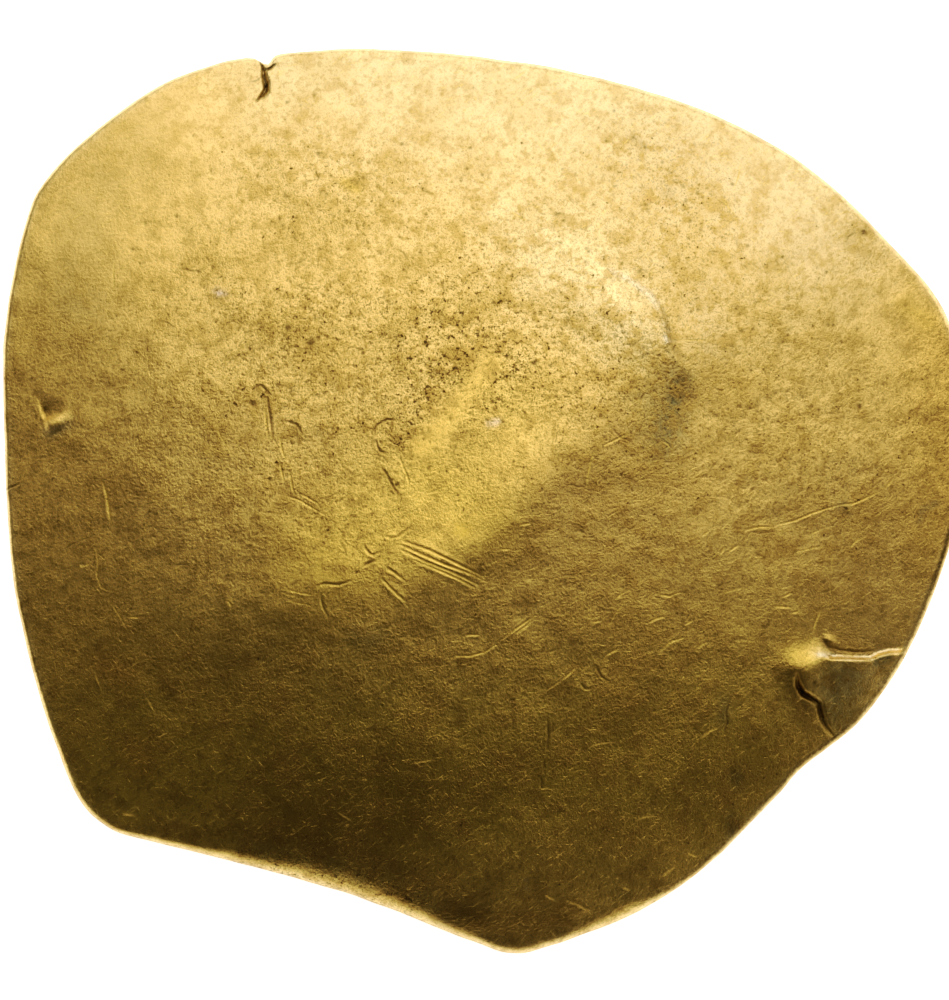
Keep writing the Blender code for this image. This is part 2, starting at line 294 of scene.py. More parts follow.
# Marks of each kind, each as a line of pixels
MARKS = {
    "hair": [
        [(115, 262), (114, 275), (115, 290)], [(283, 588), (300, 592), (317, 595)],
        [(283, 592), (300, 597)], [(290, 600), (312, 605)], [(424, 473), (440, 470)],
        [(424, 478), (440, 474)], [(216, 423), (222, 437), (229, 448), (233, 455)],
        [(186, 433), (197, 435), (203, 439)], [(205, 450), (213, 458)], [(213, 447), (222, 452)],
        [(168, 460), (171, 470)], [(110, 600), (117, 610), (122, 618), (130, 632)],
        [(97, 543), (99, 560), (98, 575), (102, 587), (108, 590), (120, 592)],
        [(80, 567), (88, 565), (93, 562)], [(228, 488), (245, 488)], [(283, 500), (291, 503)],
        [(608, 625), (617, 610), (625, 600)], [(545, 690), (560, 680)],
        [(590, 745), (600, 742), (615, 741)], [(720, 593), (740, 588)],
        [(795, 552), (808, 549), (820, 546)], [(808, 535), (820, 529)], [(829, 583), (830, 593)],
        [(832, 555), (831, 568)], [(820, 500), (830, 501)], [(635, 820), (645, 816), (655, 815)],
        [(680, 341), (708, 341)], [(337, 810), (353, 820)], [(415, 761), (435, 758)],
        [(148, 697), (157, 712)], [(95, 670), (103, 690)], [(484, 184), (491, 193)],
        [(512, 213), (525, 222)], [(740, 165), (738, 178), (733, 190)],
        [(722, 200), (728, 208), (733, 215)],
    ],
    "scratch": [
        [(500, 640), (510, 632), (520, 625), (530, 618), (537, 614)], [(515, 633), (525, 626), (533, 618)],
        [(455, 655), (470, 655), (485, 651), (497, 643)], [(745, 530), (757, 527), (770, 527)],
        [(778, 524), (793, 521), (812, 513), (838, 505)], [(838, 505), (852, 504), (862, 500), (878, 492)],
        [(885, 488), (892, 480)], [(820, 610), (816, 620), (812, 634)],
        [(595, 450), (590, 460), (587, 475), (586, 488)], [(603, 446), (613, 441), (627, 434)],
        [(605, 655), (613, 650), (618, 648)], [(560, 680), (570, 672), (576, 665)],
        [(592, 622), (599, 620)], [(615, 598), (622, 592)], [(648, 622), (655, 618), (664, 616)],
        [(658, 594), (668, 596), (678, 592)], [(684, 624), (692, 620)],
        [(660, 650), (670, 641), (683, 637)], [(698, 646), (703, 643)],
        [(702, 735), (710, 730), (716, 727)], [(850, 547), (858, 538)], [(727, 552), (737, 545)],
        [(702, 535), (707, 531)], [(720, 553), (723, 547)], [(773, 606), (790, 607)],
        [(792, 613), (798, 611)], [(782, 597), (790, 593)], [(228, 600), (231, 602), (233, 606)],
        [(281, 437), (283, 450), (287, 460)], [(281, 462), (285, 482)],
        [(291, 473), (294, 490), (297, 496)], [(266, 410), (269, 437)],
        [(288, 496), (300, 500), (312, 507), (326, 515)], [(300, 493), (318, 503), (322, 508)],
        [(401, 460), (405, 470), (409, 480), (409, 488)], [(500, 549), (510, 549)],
        [(520, 525), (530, 523)], [(466, 634), (480, 634)], [(663, 442), (668, 446), (665, 449)],
        [(688, 853), (697, 857)], [(660, 878), (670, 871), (677, 865)], [(622, 887), (630, 890)],
        [(545, 895), (555, 900)], [(565, 900), (578, 905), (590, 912)], [(122, 813), (135, 815)],
        [(130, 617), (141, 617)], [(386, 441), (384, 449)], [(587, 289), (600, 288)],
    ],
    "cut": [
        [(405, 541), (430, 550), (455, 562), (484, 577)],
        [(402, 545), (420, 553), (445, 564), (470, 573), (486, 581)],
        [(403, 550), (425, 561), (450, 571), (478, 584)], [(416, 560), (440, 570), (460, 579), (474, 587)],
        [(388, 568), (396, 573), (405, 580)], [(105, 483), (108, 495), (110, 508), (112, 520)],
        [(383, 578), (390, 586), (398, 594), (405, 600)], [(365, 547), (370, 553), (374, 555), (380, 552)],
        [(385, 535), (392, 538), (400, 536), (411, 527)],
    ],
    "line": [
        [(178, 269), (186, 270), (194, 272), (201, 272)], [(206, 257), (209, 261), (211, 264)],
        [(274, 291), (285, 292)], [(296, 286), (303, 289), (313, 290)], [(296, 266), (306, 260)],
        [(150, 291), (158, 291)], [(160, 322), (167, 323), (172, 325), (175, 330)],
        [(285, 351), (292, 352)], [(300, 350), (312, 349)], [(320, 294), (327, 298)],
        [(335, 299), (338, 303)], [(406, 240), (412, 240)], [(397, 250), (404, 254), (408, 262)],
        [(417, 186), (424, 192), (433, 195)], [(316, 172), (319, 179), (317, 183)],
        [(304, 183), (315, 181)], [(440, 280), (446, 296)], [(440, 370), (455, 380)],
        [(142, 520), (150, 513), (160, 506)], [(180, 524), (188, 521), (197, 520), (206, 519)],
        [(222, 478), (213, 483), (208, 486)], [(197, 612), (193, 625), (190, 638)],
        [(62, 552), (75, 543), (88, 538), (100, 533)], [(100, 788), (112, 790), (120, 797), (124, 803)],
        [(170, 822), (176, 810)], [(318, 500), (330, 497), (342, 491)],
        [(425, 494), (434, 491), (441, 488), (448, 487)], [(341, 541), (346, 549), (348, 556)],
        [(356, 384), (361, 391), (366, 390)], [(608, 426), (614, 432), (620, 438), (628, 441), (634, 446)],
        [(609, 353), (612, 360)], [(707, 252), (718, 253)], [(715, 390), (722, 391)],
        [(803, 405), (808, 408), (812, 412)], [(824, 413), (834, 414)], [(795, 429), (806, 429)],
        [(781, 457), (787, 462)], [(750, 447), (757, 447)], [(762, 370), (766, 376)],
        [(668, 174), (673, 173)], [(672, 182), (678, 184)], [(612, 188), (618, 186)],
        [(420, 870), (430, 863)], [(440, 733), (447, 737)], [(568, 485), (578, 487), (590, 486)],
        [(855, 233), (848, 237), (846, 243)], [(556, 242), (563, 246)], [(822, 640), (831, 650)],
        [(175, 565), (190, 564)], [(153, 535), (160, 540)], [(250, 82), (256, 81), (263, 75)],
    ],
    "crack": [
        [(255, 388), (262, 386), (268, 391), (271, 396)], [(268, 398), (272, 420), (274, 440)],
        [(288, 422), (298, 425), (303, 434)], [(318, 585), (326, 583), (340, 584), (352, 580)],
        [(356, 573), (359, 571)], [(364, 566), (370, 562), (377, 560)],
        [(322, 595), (324, 605), (328, 615)], [(372, 433), (378, 425), (388, 420), (400, 421)],
        [(376, 440), (380, 451), (388, 455)], [(382, 467), (388, 475), (392, 484), (398, 493)],
        [(547, 718), (548, 735), (546, 752)], [(544, 758), (543, 770)],
        [(541, 775), (541, 787), (546, 786)], [(730, 698), (725, 712), (727, 722), (722, 735)],
        [(510, 698), (515, 700)], [(580, 683), (585, 688), (590, 688)],
        [(595, 665), (600, 675), (607, 680)], [(831, 647), (840, 650), (850, 651), (860, 652), (873, 651)],
        [(797, 673), (796, 680), (798, 688)], [(829, 729), (834, 737), (840, 743)],
        [(4, 491), (10, 488), (15, 486), (20, 484)],
    ],
    "cleft": [
        [(259, 59), (262, 66), (264, 73)], [(275, 64), (270, 68), (265, 71)],
        [(267, 86), (262, 95), (256, 102)],
    ],
    "split": [
        [(263, 70), (264, 77), (266, 84), (266, 91), (262, 97)],
        [(796, 674), (798, 686), (803, 694), (812, 698), (819, 703), (821, 714), (825, 725), (832, 734)],
        [(797, 682), (802, 692), (811, 697)],
    ],
    "pore": [[point] for point in PORES],
    "pit": [
        [(307, 345), (315, 344)], [(286, 327), (290, 332)], [(859, 407)], [(545, 816)],
        [(252, 403), (256, 406)], [(532, 362), (534, 366)], [(864, 233)], [(44, 407), (47, 414)],
        [(811, 681), (815, 683)],
    ],
    "ridge": [
        [(281, 600), (276, 610)], NOSE_RIDGE + [(671, 355), (681, 367)],
    ],
    # Painted highlights on the lip of the dent, in the middle and at the lower left
    "painted_highlight": [
        [(461, 530)], [(231, 601)], [(178, 570)], [(150, 542), (157, 545)], [(50, 426), (64, 421)],
        [(42, 404), (45, 418)],
    ],
}

# Colours of the stains and tones, and of the painted highlights, sheen and shade
SOOT = (0.07, 0.05, 0.02)
UMBER_STAIN_AND_SHADE = (0.26, 0.15, 0.05)
RUST = (0.50, 0.17, 0.06)
LILAC = (0.80, 0.70, 0.66)
OCHRE = (0.80, 0.55, 0.10)
INDIGO = (0.10, 0.08, 0.26)
MOSS_STAIN_AND_SHADE = (0.14, 0.17, 0.11)
PAINTED_SHADOW_OLIVE = (0.19, 0.155, 0.055)
SUNNY_POLISH_AND_HIGHLIGHT = (1.0, 0.70, 0.20)
PAINTED_SHEEN_PALE = (0.84, 0.69, 0.37)
PAINTED_HIGHLIGHT_CREAM = (1.0, 0.79, 0.38)
PAINTED_HIGHLIGHT_WHITE = (1.0, 0.88, 0.60)
TAN = (0.70, 0.49, 0.18)
OLIVE_TONE_AND_SHADE = (0.58, 0.52, 0.28)
PAINTED_SHADOW_DRAB = (0.62, 0.52, 0.22)
DUN = (0.76, 0.58, 0.29)
DEEP_TONE_AND_SHADE = (0.77, 0.56, 0.135)
YELLOW_POLISH_AND_HIGHLIGHT = (1.0, 0.65, 0.08)
TAWNY = (0.93, 0.56, 0.13)

# Stains, painted highlights and painted shadows: colour, strength, half width and line
STAINS_AND_PAINTED_LIGHT = [
    (UMBER_STAIN_AND_SHADE, 0.35, 0.12, [(148, 340), (152, 355), (158, 358)]),
    (UMBER_STAIN_AND_SHADE, 0.35, 0.08, [(250, 345), (254, 350)]), (UMBER_STAIN_AND_SHADE, 0.30, 0.08, [(200, 347), (206, 349)]),
    (LILAC, 0.50, 0.06, [(217, 293), (226, 295)]), (OCHRE, 0.60, 0.10, [(345, 183), (357, 190)]),
    # Painted shadow at the foot of the nose's step, and a painted highlight along its ridge
    (UMBER_STAIN_AND_SHADE, 0.60, 0.07, [(670, 332), (672, 345), (679, 357)]), (PAINTED_HIGHLIGHT_WHITE, 0.90, 0.06, NOSE_RIDGE),
    # Painted highlights along the crest of the flap, and on the lip of the dent
    (PAINTED_HIGHLIGHT_WHITE, 0.80, 0.05, [(818, 654), (850, 658), (872, 658)]),
    (PAINTED_HIGHLIGHT_WHITE, 0.60, 0.05, [(874, 655), (880, 652), (897, 651)]), (PAINTED_HIGHLIGHT_CREAM, 0.70, 0.14, [(50, 432), (68, 424)]),
    # Painted shadow beyond the nose's step, and a painted highlight on its swell, partly worn bright metal
    (PAINTED_SHADOW_OLIVE, 0.55, 0.22, [(682, 385), (674, 412), (656, 455)]),
    (PAINTED_HIGHLIGHT_CREAM, 0.60, 0.45, [(510, 215), (577, 270), (622, 300), (640, 325)]),
    (PAINTED_SHADOW_OLIVE, 0.55, 0.15, [(682, 377), (679, 392), (670, 416)]),
    (MOSS_STAIN_AND_SHADE, 0.28, 0.30, [(676, 385), (666, 430)]),
    # Painted shade where the lower shoulder turns away from the light
    (UMBER_STAIN_AND_SHADE, 0.40, 0.22, [(240, 828), (300, 838), (380, 858), (440, 888), (480, 918)]),
    # This row, the last stain of the next and the first of the one after paint the shadow below the nose
    (PAINTED_SHADOW_DRAB, 0.22, 0.50, [(640, 372), (652, 410)]), (UMBER_STAIN_AND_SHADE, 0.12, 0.5, [(640, 368), (652, 410)]),
    (UMBER_STAIN_AND_SHADE, 0.20, 0.35, [(235, 412), (245, 448)]), (UMBER_STAIN_AND_SHADE, 0.30, 0.12, [(690, 385), (691, 400)]),
    (MOSS_STAIN_AND_SHADE, 0.25, 0.30, [(678, 388), (673, 420)]), (RUST, 0.50, 0.024, [(640, 198), (655, 202), (670, 207)]),
    (RUST, 0.45, 0.020, [(908, 416), (920, 405), (931, 395)]),
    (INDIGO, 0.70, 0.024, [(526, 880), (527, 893)]), (UMBER_STAIN_AND_SHADE, 0.45, 0.12, [(858, 233), (872, 232)]),
    (UMBER_STAIN_AND_SHADE, 0.35, 0.16, [(850, 245), (866, 253)]), (UMBER_STAIN_AND_SHADE, 0.30, 0.14, [(880, 315), (890, 316)]),
    (UMBER_STAIN_AND_SHADE, 0.25, 0.14, [(900, 348), (910, 350)]), (UMBER_STAIN_AND_SHADE, 0.25, 0.12, [(904, 328)]),
    (OCHRE, 0.35, 0.20, [(905, 305), (928, 322)]), (UMBER_STAIN_AND_SHADE, 0.25, 0.18, [(706, 370), (716, 372)]),
    (UMBER_STAIN_AND_SHADE, 0.35, 0.14, [(703, 401), (718, 401)]), (MOSS_STAIN_AND_SHADE, 0.55, 0.12, [(843, 506), (846, 512)]),
    (MOSS_STAIN_AND_SHADE, 0.55, 0.06, [(920, 512), (928, 507), (938, 503)]), (MOSS_STAIN_AND_SHADE, 0.50, 0.05, [(918, 523), (925, 515)]),
    # Painted shade on the flap's facet, which faces away from the light, partly olive toning; in the next row
    # a painted highlight on the flap's mound and painted shadow below the nose
    (MOSS_STAIN_AND_SHADE, 0.60, 0.10, [(876, 662), (888, 657)]), (OLIVE_TONE_AND_SHADE, 0.50, 0.42, [(836, 688), (860, 680)]),
    (PAINTED_SHEEN_PALE, 0.35, 0.12, [(814, 652), (822, 650)]), (MOSS_STAIN_AND_SHADE, 0.20, 0.5, [(655, 405), (668, 445)]),
    # Painted shadow beside the flap's left side, where it steps down
    (UMBER_STAIN_AND_SHADE, 0.55, 0.10, [(812, 683), (818, 686)]), (UMBER_STAIN_AND_SHADE, 0.35, 0.25, [(805, 712), (818, 732)]),
    (RUST, 0.20, 0.03, [(833, 649), (850, 652), (872, 654)]), (SOOT, 0.55, 0.09, [(735, 770)]),
    (SOOT, 0.55, 0.10, [(735, 822), (733, 830)]), (SOOT, 0.40, 0.10, [(622, 894), (630, 897)]),
    (UMBER_STAIN_AND_SHADE, 0.45, 0.05, [(385, 470), (396, 490), (412, 505)]),
    (UMBER_STAIN_AND_SHADE, 0.40, 0.05, [(392, 413), (407, 419)]), (UMBER_STAIN_AND_SHADE, 0.30, 0.06, [(311, 408), (333, 411)]),
    (MOSS_STAIN_AND_SHADE, 0.40, 0.22, [(358, 632), (374, 640)]), (UMBER_STAIN_AND_SHADE, 0.35, 0.09, [(632, 138), (644, 147)]),
    (UMBER_STAIN_AND_SHADE, 0.30, 0.12, [(665, 192), (670, 198)]), (UMBER_STAIN_AND_SHADE, 0.35, 0.08, [(638, 272), (643, 275)]),
    (UMBER_STAIN_AND_SHADE, 0.30, 0.10, [(330, 812), (342, 816)]), (SOOT, 0.35, 0.06, [(44, 407), (47, 414)]),
    (RUST, 0.25, 0.30, [(105, 665), (125, 675)]), (RUST, 0.20, 0.30, [(135, 745), (145, 765)]),
    (SOOT, 0.35, 0.10, [(100, 790), (124, 803)]),
]

# Broad tones of the metal, with painted sheen, highlights and shade: colour, strength, half width and line
BROAD_TONES_AND_PAINTED_LIGHT = [
    # A painted sheen across the top, where it faces the light, partly a film of dust, and a painted highlight
    # on the nose's swell
    (PAINTED_SHEEN_PALE, 0.80, 2.6, [(330, 20), (600, 100), (800, 150)]), (PAINTED_HIGHLIGHT_CREAM, 0.70, 1.2, [(560, 255), (630, 308)]),
    # Yellow over the middle, along the smooth streak and on the flap's mound, here and in the next row:
    # polish and painted highlight; a painted highlight on the small bright spot after them
    (YELLOW_POLISH_AND_HIGHLIGHT, 0.35, 1.3, [(330, 560), (430, 520)]), (YELLOW_POLISH_AND_HIGHLIGHT, 0.40, 0.30, [(796, 656), (806, 656)]),
    (YELLOW_POLISH_AND_HIGHLIGHT, 0.25, 0.30, SMOOTH_STREAK), (YELLOW_POLISH_AND_HIGHLIGHT, 0.25, 0.6, [(440, 490), (490, 515)]),
    (YELLOW_POLISH_AND_HIGHLIGHT, 0.90, 0.13, [(459, 529), (463, 531)]), (TAWNY, 0.25, 2.4, [(30, 250), (20, 500), (60, 700)]),
    # The deeper gold over the lower half in this row is painted shade, partly toning
    (TAWNY, 0.50, 1.2, [(960, 330), (960, 520)]), (DEEP_TONE_AND_SHADE, 0.85, 3.2, [(150, 760), (450, 780), (720, 760)]),
    (DUN, 0.50, 1.6, [(700, 160), (780, 220)]), (TAN, 0.80, 0.9, [(130, 130), (85, 220), (85, 300)]),
    # Umber over the lower right: painted shade, partly brown toning
    (UMBER_STAIN_AND_SHADE, 0.12, 2.2, [(640, 560), (700, 780)]), (DUN, 0.50, 0.5, [(695, 300), (705, 340)]),
    # Painted shadow below the nose; then umber over the lower left, here and in the next row: painted shade,
    # partly brown toning
    (UMBER_STAIN_AND_SHADE, 0.25, 0.55, [(600, 415), (660, 440)]), (UMBER_STAIN_AND_SHADE, 0.14, 0.5, [(235, 680), (275, 680)]),
    (UMBER_STAIN_AND_SHADE, 0.14, 0.5, [(30, 600), (50, 660)]), (UMBER_STAIN_AND_SHADE, 0.14, 1.0, [(100, 700), (230, 690)]),
    (TAN, 0.30, 1.2, [(640, 170), (700, 250), (710, 330)]),
    (TAN, 0.40, 0.32, [(676, 296), (684, 326), (694, 350)]),
    # Brighter gold over the middle: polish and painted highlight
    (SUNNY_POLISH_AND_HIGHLIGHT, 0.70, 1.1, [(400, 500), (450, 500), (500, 430)]), (LILAC, 0.40, 0.08, [(489, 424), (498, 422)]),
    # Painted shade over the lower half and on the flap's facet, partly toning, and painted shadow beside the
    # flap's left side
    (UMBER_STAIN_AND_SHADE, 0.18, 0.7, [(560, 850), (620, 835)]), (MOSS_STAIN_AND_SHADE, 0.40, 0.24, [(832, 716), (846, 722)]),
    (MOSS_STAIN_AND_SHADE, 0.22, 0.5, [(845, 680), (855, 700)]), (UMBER_STAIN_AND_SHADE, 0.45, 0.22, [(799, 690), (806, 712)]),
    (MOSS_STAIN_AND_SHADE, 0.40, 0.14, [(724, 702), (722, 718)]), (MOSS_STAIN_AND_SHADE, 0.40, 0.16, [(735, 774), (738, 784)]),
    (MOSS_STAIN_AND_SHADE, 0.40, 0.16, [(732, 818), (730, 832)]),
    # Painted shade where the lower shoulder turns away from the light
    (MOSS_STAIN_AND_SHADE, 0.22, 0.30, [(255, 848), (330, 866), (410, 893), (450, 912)]),
    # The umber from here to the end of the table paints shade over the lower half and beyond the brow, partly
    # brown toning
    (UMBER_STAIN_AND_SHADE, 0.50, 0.36, [(450, 915), (510, 925), (560, 915)]), (UMBER_STAIN_AND_SHADE, 0.20, 0.4, [(290, 820), (370, 835)]),
    (TAN, 0.45, 0.18, [(826, 643), (856, 637), (888, 642)]), (UMBER_STAIN_AND_SHADE, 0.40, 1.2, [(300, 790), (400, 810)]),
    (UMBER_STAIN_AND_SHADE, 0.22, 0.8, [(110, 620), (190, 655), (290, 650)]),
    (UMBER_STAIN_AND_SHADE, 0.32, 0.7, [(500, 768), (560, 748), (640, 705)]), (UMBER_STAIN_AND_SHADE, 0.16, 0.6, [(560, 480), (620, 450)]),
    (UMBER_STAIN_AND_SHADE, 0.30, 0.8, [(700, 785), (770, 775)]), (UMBER_STAIN_AND_SHADE, 0.20, 0.7, [(390, 750), (440, 800)]),
    (UMBER_STAIN_AND_SHADE, 0.18, 1.2, [(840, 580), (870, 520)]), (UMBER_STAIN_AND_SHADE, 0.25, 0.5, [(560, 480), (600, 495)]),
]

# Paler metal along the worn rim, a painted highlight where it catches the pale floor: how much, and how far
# in
RIM_PALENESS_AND_REFLECTION = 0.8
RIM_REFLECTION_WIDTH = 0.12

# Grime that darkens the low places: how much on the face, how much on the hidden side, and where on the face
# there is more or less of it. Less grime along the top edge, over the middle and north of the flap's crest is
# a painted highlight, and more along the lower shoulder is painted shade
GRIME = 0.40
HIDDEN_GRIME = 0.70
GRIME_AND_PAINTED_LIGHT_PATCHES = [
    (0.45, 1.6, [(270, 330), (340, 310), (430, 330)]), (0.32, 1.5, [(440, 400), (520, 380), (600, 390)]),
    (0.12, 1.8, [(300, 460), (450, 500)]), (0.25, 1.0, [(250, 160), (340, 185)]),
    (0.25, 1.0, [(650, 150), (700, 220)]), (0.05, 1.6, [(760, 380), (780, 440)]),
    (0.15, 1.6, [(850, 500), (930, 430)]), (-0.20, 0.8, [(450, 490), (470, 510)]),
    (-0.22, 0.9, [(405, 330), (440, 365)]), (0.40, 0.30, [(250, 852), (330, 874), (420, 904)]),
    (-0.30, 2.4, UPPER_EDGE), (-0.25, 2.0, [(60, 250), (110, 180)]), (-0.20, 1.6, [(800, 200), (880, 300)]),
    (-0.30, 0.8, [(430, 470), (500, 440)]), (-0.30, 0.6, [(430, 550), (500, 545)]),
    (-0.25, 0.6, [(300, 590), (440, 590)]), (-0.30, 0.6, [(270, 268), (400, 265)]),
    (-0.25, 0.6, [(80, 770), (130, 800)]), (-0.25, 0.5, [(800, 628), (885, 632)]),
    (-0.35, 0.28, SMOOTH_STREAK[::-1]), (0.16, 0.26, ROUGH_STREAK),
    (0.22, 0.24, [(461, 425), (490, 400), (520, 362)]), (-0.20, 0.7, [(210, 325), (340, 345)]),
]

# Sandy grain: how coarse it is everywhere, and where it is more or less so
SAND = 0.84
SAND_PATCHES = [
    (-0.32, 2.6, UPPER_EDGE), (-0.30, 2.0, [(760, 200), (880, 300)]), (-0.50, 0.28, SMOOTH_STREAK),
    (-0.60, 0.14, [(461, 530)]), (0.20, 0.28, ROUGH_STREAK), (0.20, 0.28, [(461, 425), (520, 362)]),
    (0.30, 2.4, [(400, 760), (600, 850)]), (-0.15, 1.6, [(820, 520), (860, 600)]),
    (-0.10, 2.4, [(60, 300), (60, 550)]), (0.30, 1.2, [(170, 430), (200, 520)]),
    (0.22, 1.0, [(430, 490), (470, 490)]), (-0.12, 2.0, [(700, 400), (800, 480)]),
]

# Scattered small pits: middle and half widths of each cloud, how many, dirt
PIT_CLOUDS = [
    ((300, 340), (60, 45), 70, 0.9), ((484, 412), (26, 16), 34, 0.6), ((436, 380), (26, 12), 26, 0.6),
    ((392, 440), (14, 18), 24, 0.6), ((505, 364), (24, 20), 26, 0.6), ((420, 320), (60, 40), 34, 0.6),
    ((560, 350), (70, 70), 50, 0.7), ((340, 210), (80, 60), 60, 0.6), ((620, 220), (90, 60), 50, 0.55),
    ((760, 420), (90, 60), 60, 0.8), ((720, 320), (90, 60), 40, 0.6), ((200, 420), (90, 120), 60, 0.6),
    ((392, 480), (10, 16), 22, 0.9), ((388, 428), (14, 10), 16, 0.9), ((450, 485), (56, 50), 48, 1.0),
    ((330, 470), (60, 50), 36, 0.7), ((480, 500), (380, 380), 280, 0.6),
]
PIT_HALF = (0.018, 0.042)
PIT_DEPTH_SHARE = 0.22
PIT_EDGES = 0.2
PIT_SPREAD = 0.6
PIT_STRETCH = 1.4
PIT_LEAST_STRETCH = 0.01
PIT_FLATTENING = 0.4
PIT_DIRT = (0.4, 1.0)
PIT_RIM_MARGIN = 0.5
PIT_SEED = 11

# What the mesh tells the metal at each point
AMOUNTS = ("dirt", "scuffing", "grime_and_painted_light", "sand")

# Metal: its own colour, and its grain as sizes of the features, detail and roughness
GOLD = (0.95, 0.655, 0.235)
GRAINS = {
    "fine": ((0.050, 0.058, 0.060), 3.0, 0.7),
    "middling": ((0.13, 0.14, 0.14), 3.0, 0.65),
    "patches": ((0.38, 0.38, 0.38), 3.0, 0.65),
    "broad": ((0.90, 0.90, 0.90), 4.0, 0.65),
    "crumbs": ((0.10, 0.10, 0.10), 3.0, 0.65),
}

# Fine scuffs: sizes of the features, their bearing, and the noise at which a scuff begins and is full
SCUFFS = [
    ((0.26, 0.032, 0.10), 36.0, 0.62, 0.78),
    ((0.22, 0.030, 0.10), 6.0, 0.65, 0.80),
    ((0.22, 0.030, 0.10), -48.0, 0.65, 0.80),
]
SCUFF_DETAIL = (1.0, 0.5)
SCUFF_FRESHNESS = 0.55

# Relief of the grain: its greatest height, the shares of the middling and patchy grain by soiling, the share
# of the scuffs, and how the broad grain varies it
GRAIN_HEIGHT = 0.013
MIDDLING_RELIEF = (0.95, 0.1)
PATCHY_RELIEF = 2.0
SCUFF_RELIEF = 0.14
SAND_RANGE = (0.35, 0.65, 0.80, 1.20)

# Soil: where the specks begin, how much sooner with soiling and in patches, how sharp and strong they are,
# how much lies in the hollows, and how it breaks up in the marks
SPECKS_FROM = 0.82
SPECKS_BY_SOILING = -0.18
SPECKS_BY_PATCH = -0.20
SPECK_SHARPNESS = 11.0
SPECK_STRENGTH = 0.85
HOLLOW_RANGE = (0.49, 0.37)
HOLLOW_SOIL = (0.72, 0.05)
MARK_SOIL = (0.30, 0.56, 0.55, 1.0)
SOIL = (0.11, 0.076, 0.030, 1.0)

# Mottling: grain, the noise at which it begins and is full, its strength and its shade, and what soiling adds
MOTTLES = [
    ("broad", 0.42, 0.66, 0.34, (0.62, 0.40, 0.115, 1.0)),
    ("patches", 0.46, 0.66, 0.60, (0.55, 0.35, 0.105, 1.0)),
    ("middling", 0.48, 0.68, 0.60, (0.50, 0.32, 0.095, 1.0)),
    ("fine", 0.51, 0.68, 0.55, (0.45, 0.29, 0.085, 1.0)),
]
MOTTLING_BY_SOILING = (1.0, 0.65)
FRESH_METAL = (1.0, 0.73, 0.22, 1.0)
FRESH_STRENGTH = 0.8

# Roughness of the metal, and what the grain, soil, scuffs and scratches add to it
GOLD_ROUGHNESS = 0.33
GRAIN_ROUGHNESS = 0.14
SOIL_ROUGHNESS = 0.25
SCUFF_ROUGHNESS = 0.06
SCRATCH_ROUGHNESS = 0.22

# Light and picture
SOFTBOX_FROM = 5.0
SOFTBOX_TO = 72.0
SOFTBOX_TURN = 16.0
SOFTBOX_WIDTH = 0.5
SOFTBOX_DISTANCE = 0.3
SOFTBOX_RADIANCE = 1.55
SKY = 0.012
SKY_COLOUR = (1.0, 0.99, 0.97, 1.0)
HORIZON = 0.5
HORIZON_FADE = (0.30, 0.50)
FLOOR_HALF = 3.0
FLOOR_GLOW = 0.97
FLOOR_COLOUR = (0.8, 0.8, 0.8, 1.0)
FLOOR_ROUGHNESS = 0.9
LENS = 400.0
SENSOR = 36.0
CLIP = (0.001, 20.0)
RIM_PLANE = 1.2
SHADOW_TOE = [
    (0.02, 0.005), (0.04, 0.0145), (0.08, 0.042), (0.12, 0.079), (0.18, 0.147), (0.25, 0.238), (0.32, 0.32),
    (0.7, 0.7),
]


def smooth(share):
    share = np.clip(share, 0.0, 1.0)
    return share * share * (3.0 - 2.0 * share)


def closed_curve(points, steps=24):
    """Points along a smooth closed curve through the given ones."""
    here = np.array(points, float)[:, None, :]
    before, after, beyond = (np.roll(here, shift, 0) for shift in (1, -1, -2))
    share = (np.arange(steps) / steps)[None, :, None]
    curve = 0.5 * (
        2 * here
        + (after - before) * share
        + (2 * before - 5 * here + 4 * after - beyond) * share**2
        + (3 * here - before - 3 * after + beyond) * share**3
    )
    return curve.reshape(-1, 2)


def polar(x, y, middle):
    return np.hypot(x - middle[0], y - middle[1]), np.arctan2(y - middle[1], x - middle[0])


def reach_of(points, middle):
    """A function that gives, for a bearing in radians, how far the closed curve lies from the middle."""
    curve = closed_curve(points)
    radii, bearings = polar(curve[:, 0], curve[:, 1], middle)
    order = np.argsort(bearings)
    return lambda bearing: np.interp(bearing, bearings[order], radii[order], period=2 * math.pi)


rim_reach = reach_of(OUTLINE, MIDDLE)


def around(bearing, stations):
    """The value at a bearing in radians, eased between stations of (degrees, value)."""
    degrees = np.array([row[0] for row in stations] + [stations[0][0] + 360.0], float)
    values = np.array([row[1] for row in stations] + [stations[0][1]], float)
    turned = (np.degrees(bearing) - degrees[0]) % 360.0 + degrees[0]
    span = np.clip(np.searchsorted(degrees, turned, side="right") - 1, 0, len(stations) - 1)
    share = smooth((turned - degrees[span]) / (degrees[span + 1] - degrees[span]))
    return values[span] + (values[span + 1] - values[span]) * share


def bearing_gap(bearing, degrees):
    """Degrees between a bearing in radians and a given one, from 0 to 180."""
    return np.abs((np.degrees(bearing) - degrees + 180.0) % 360.0 - 180.0)


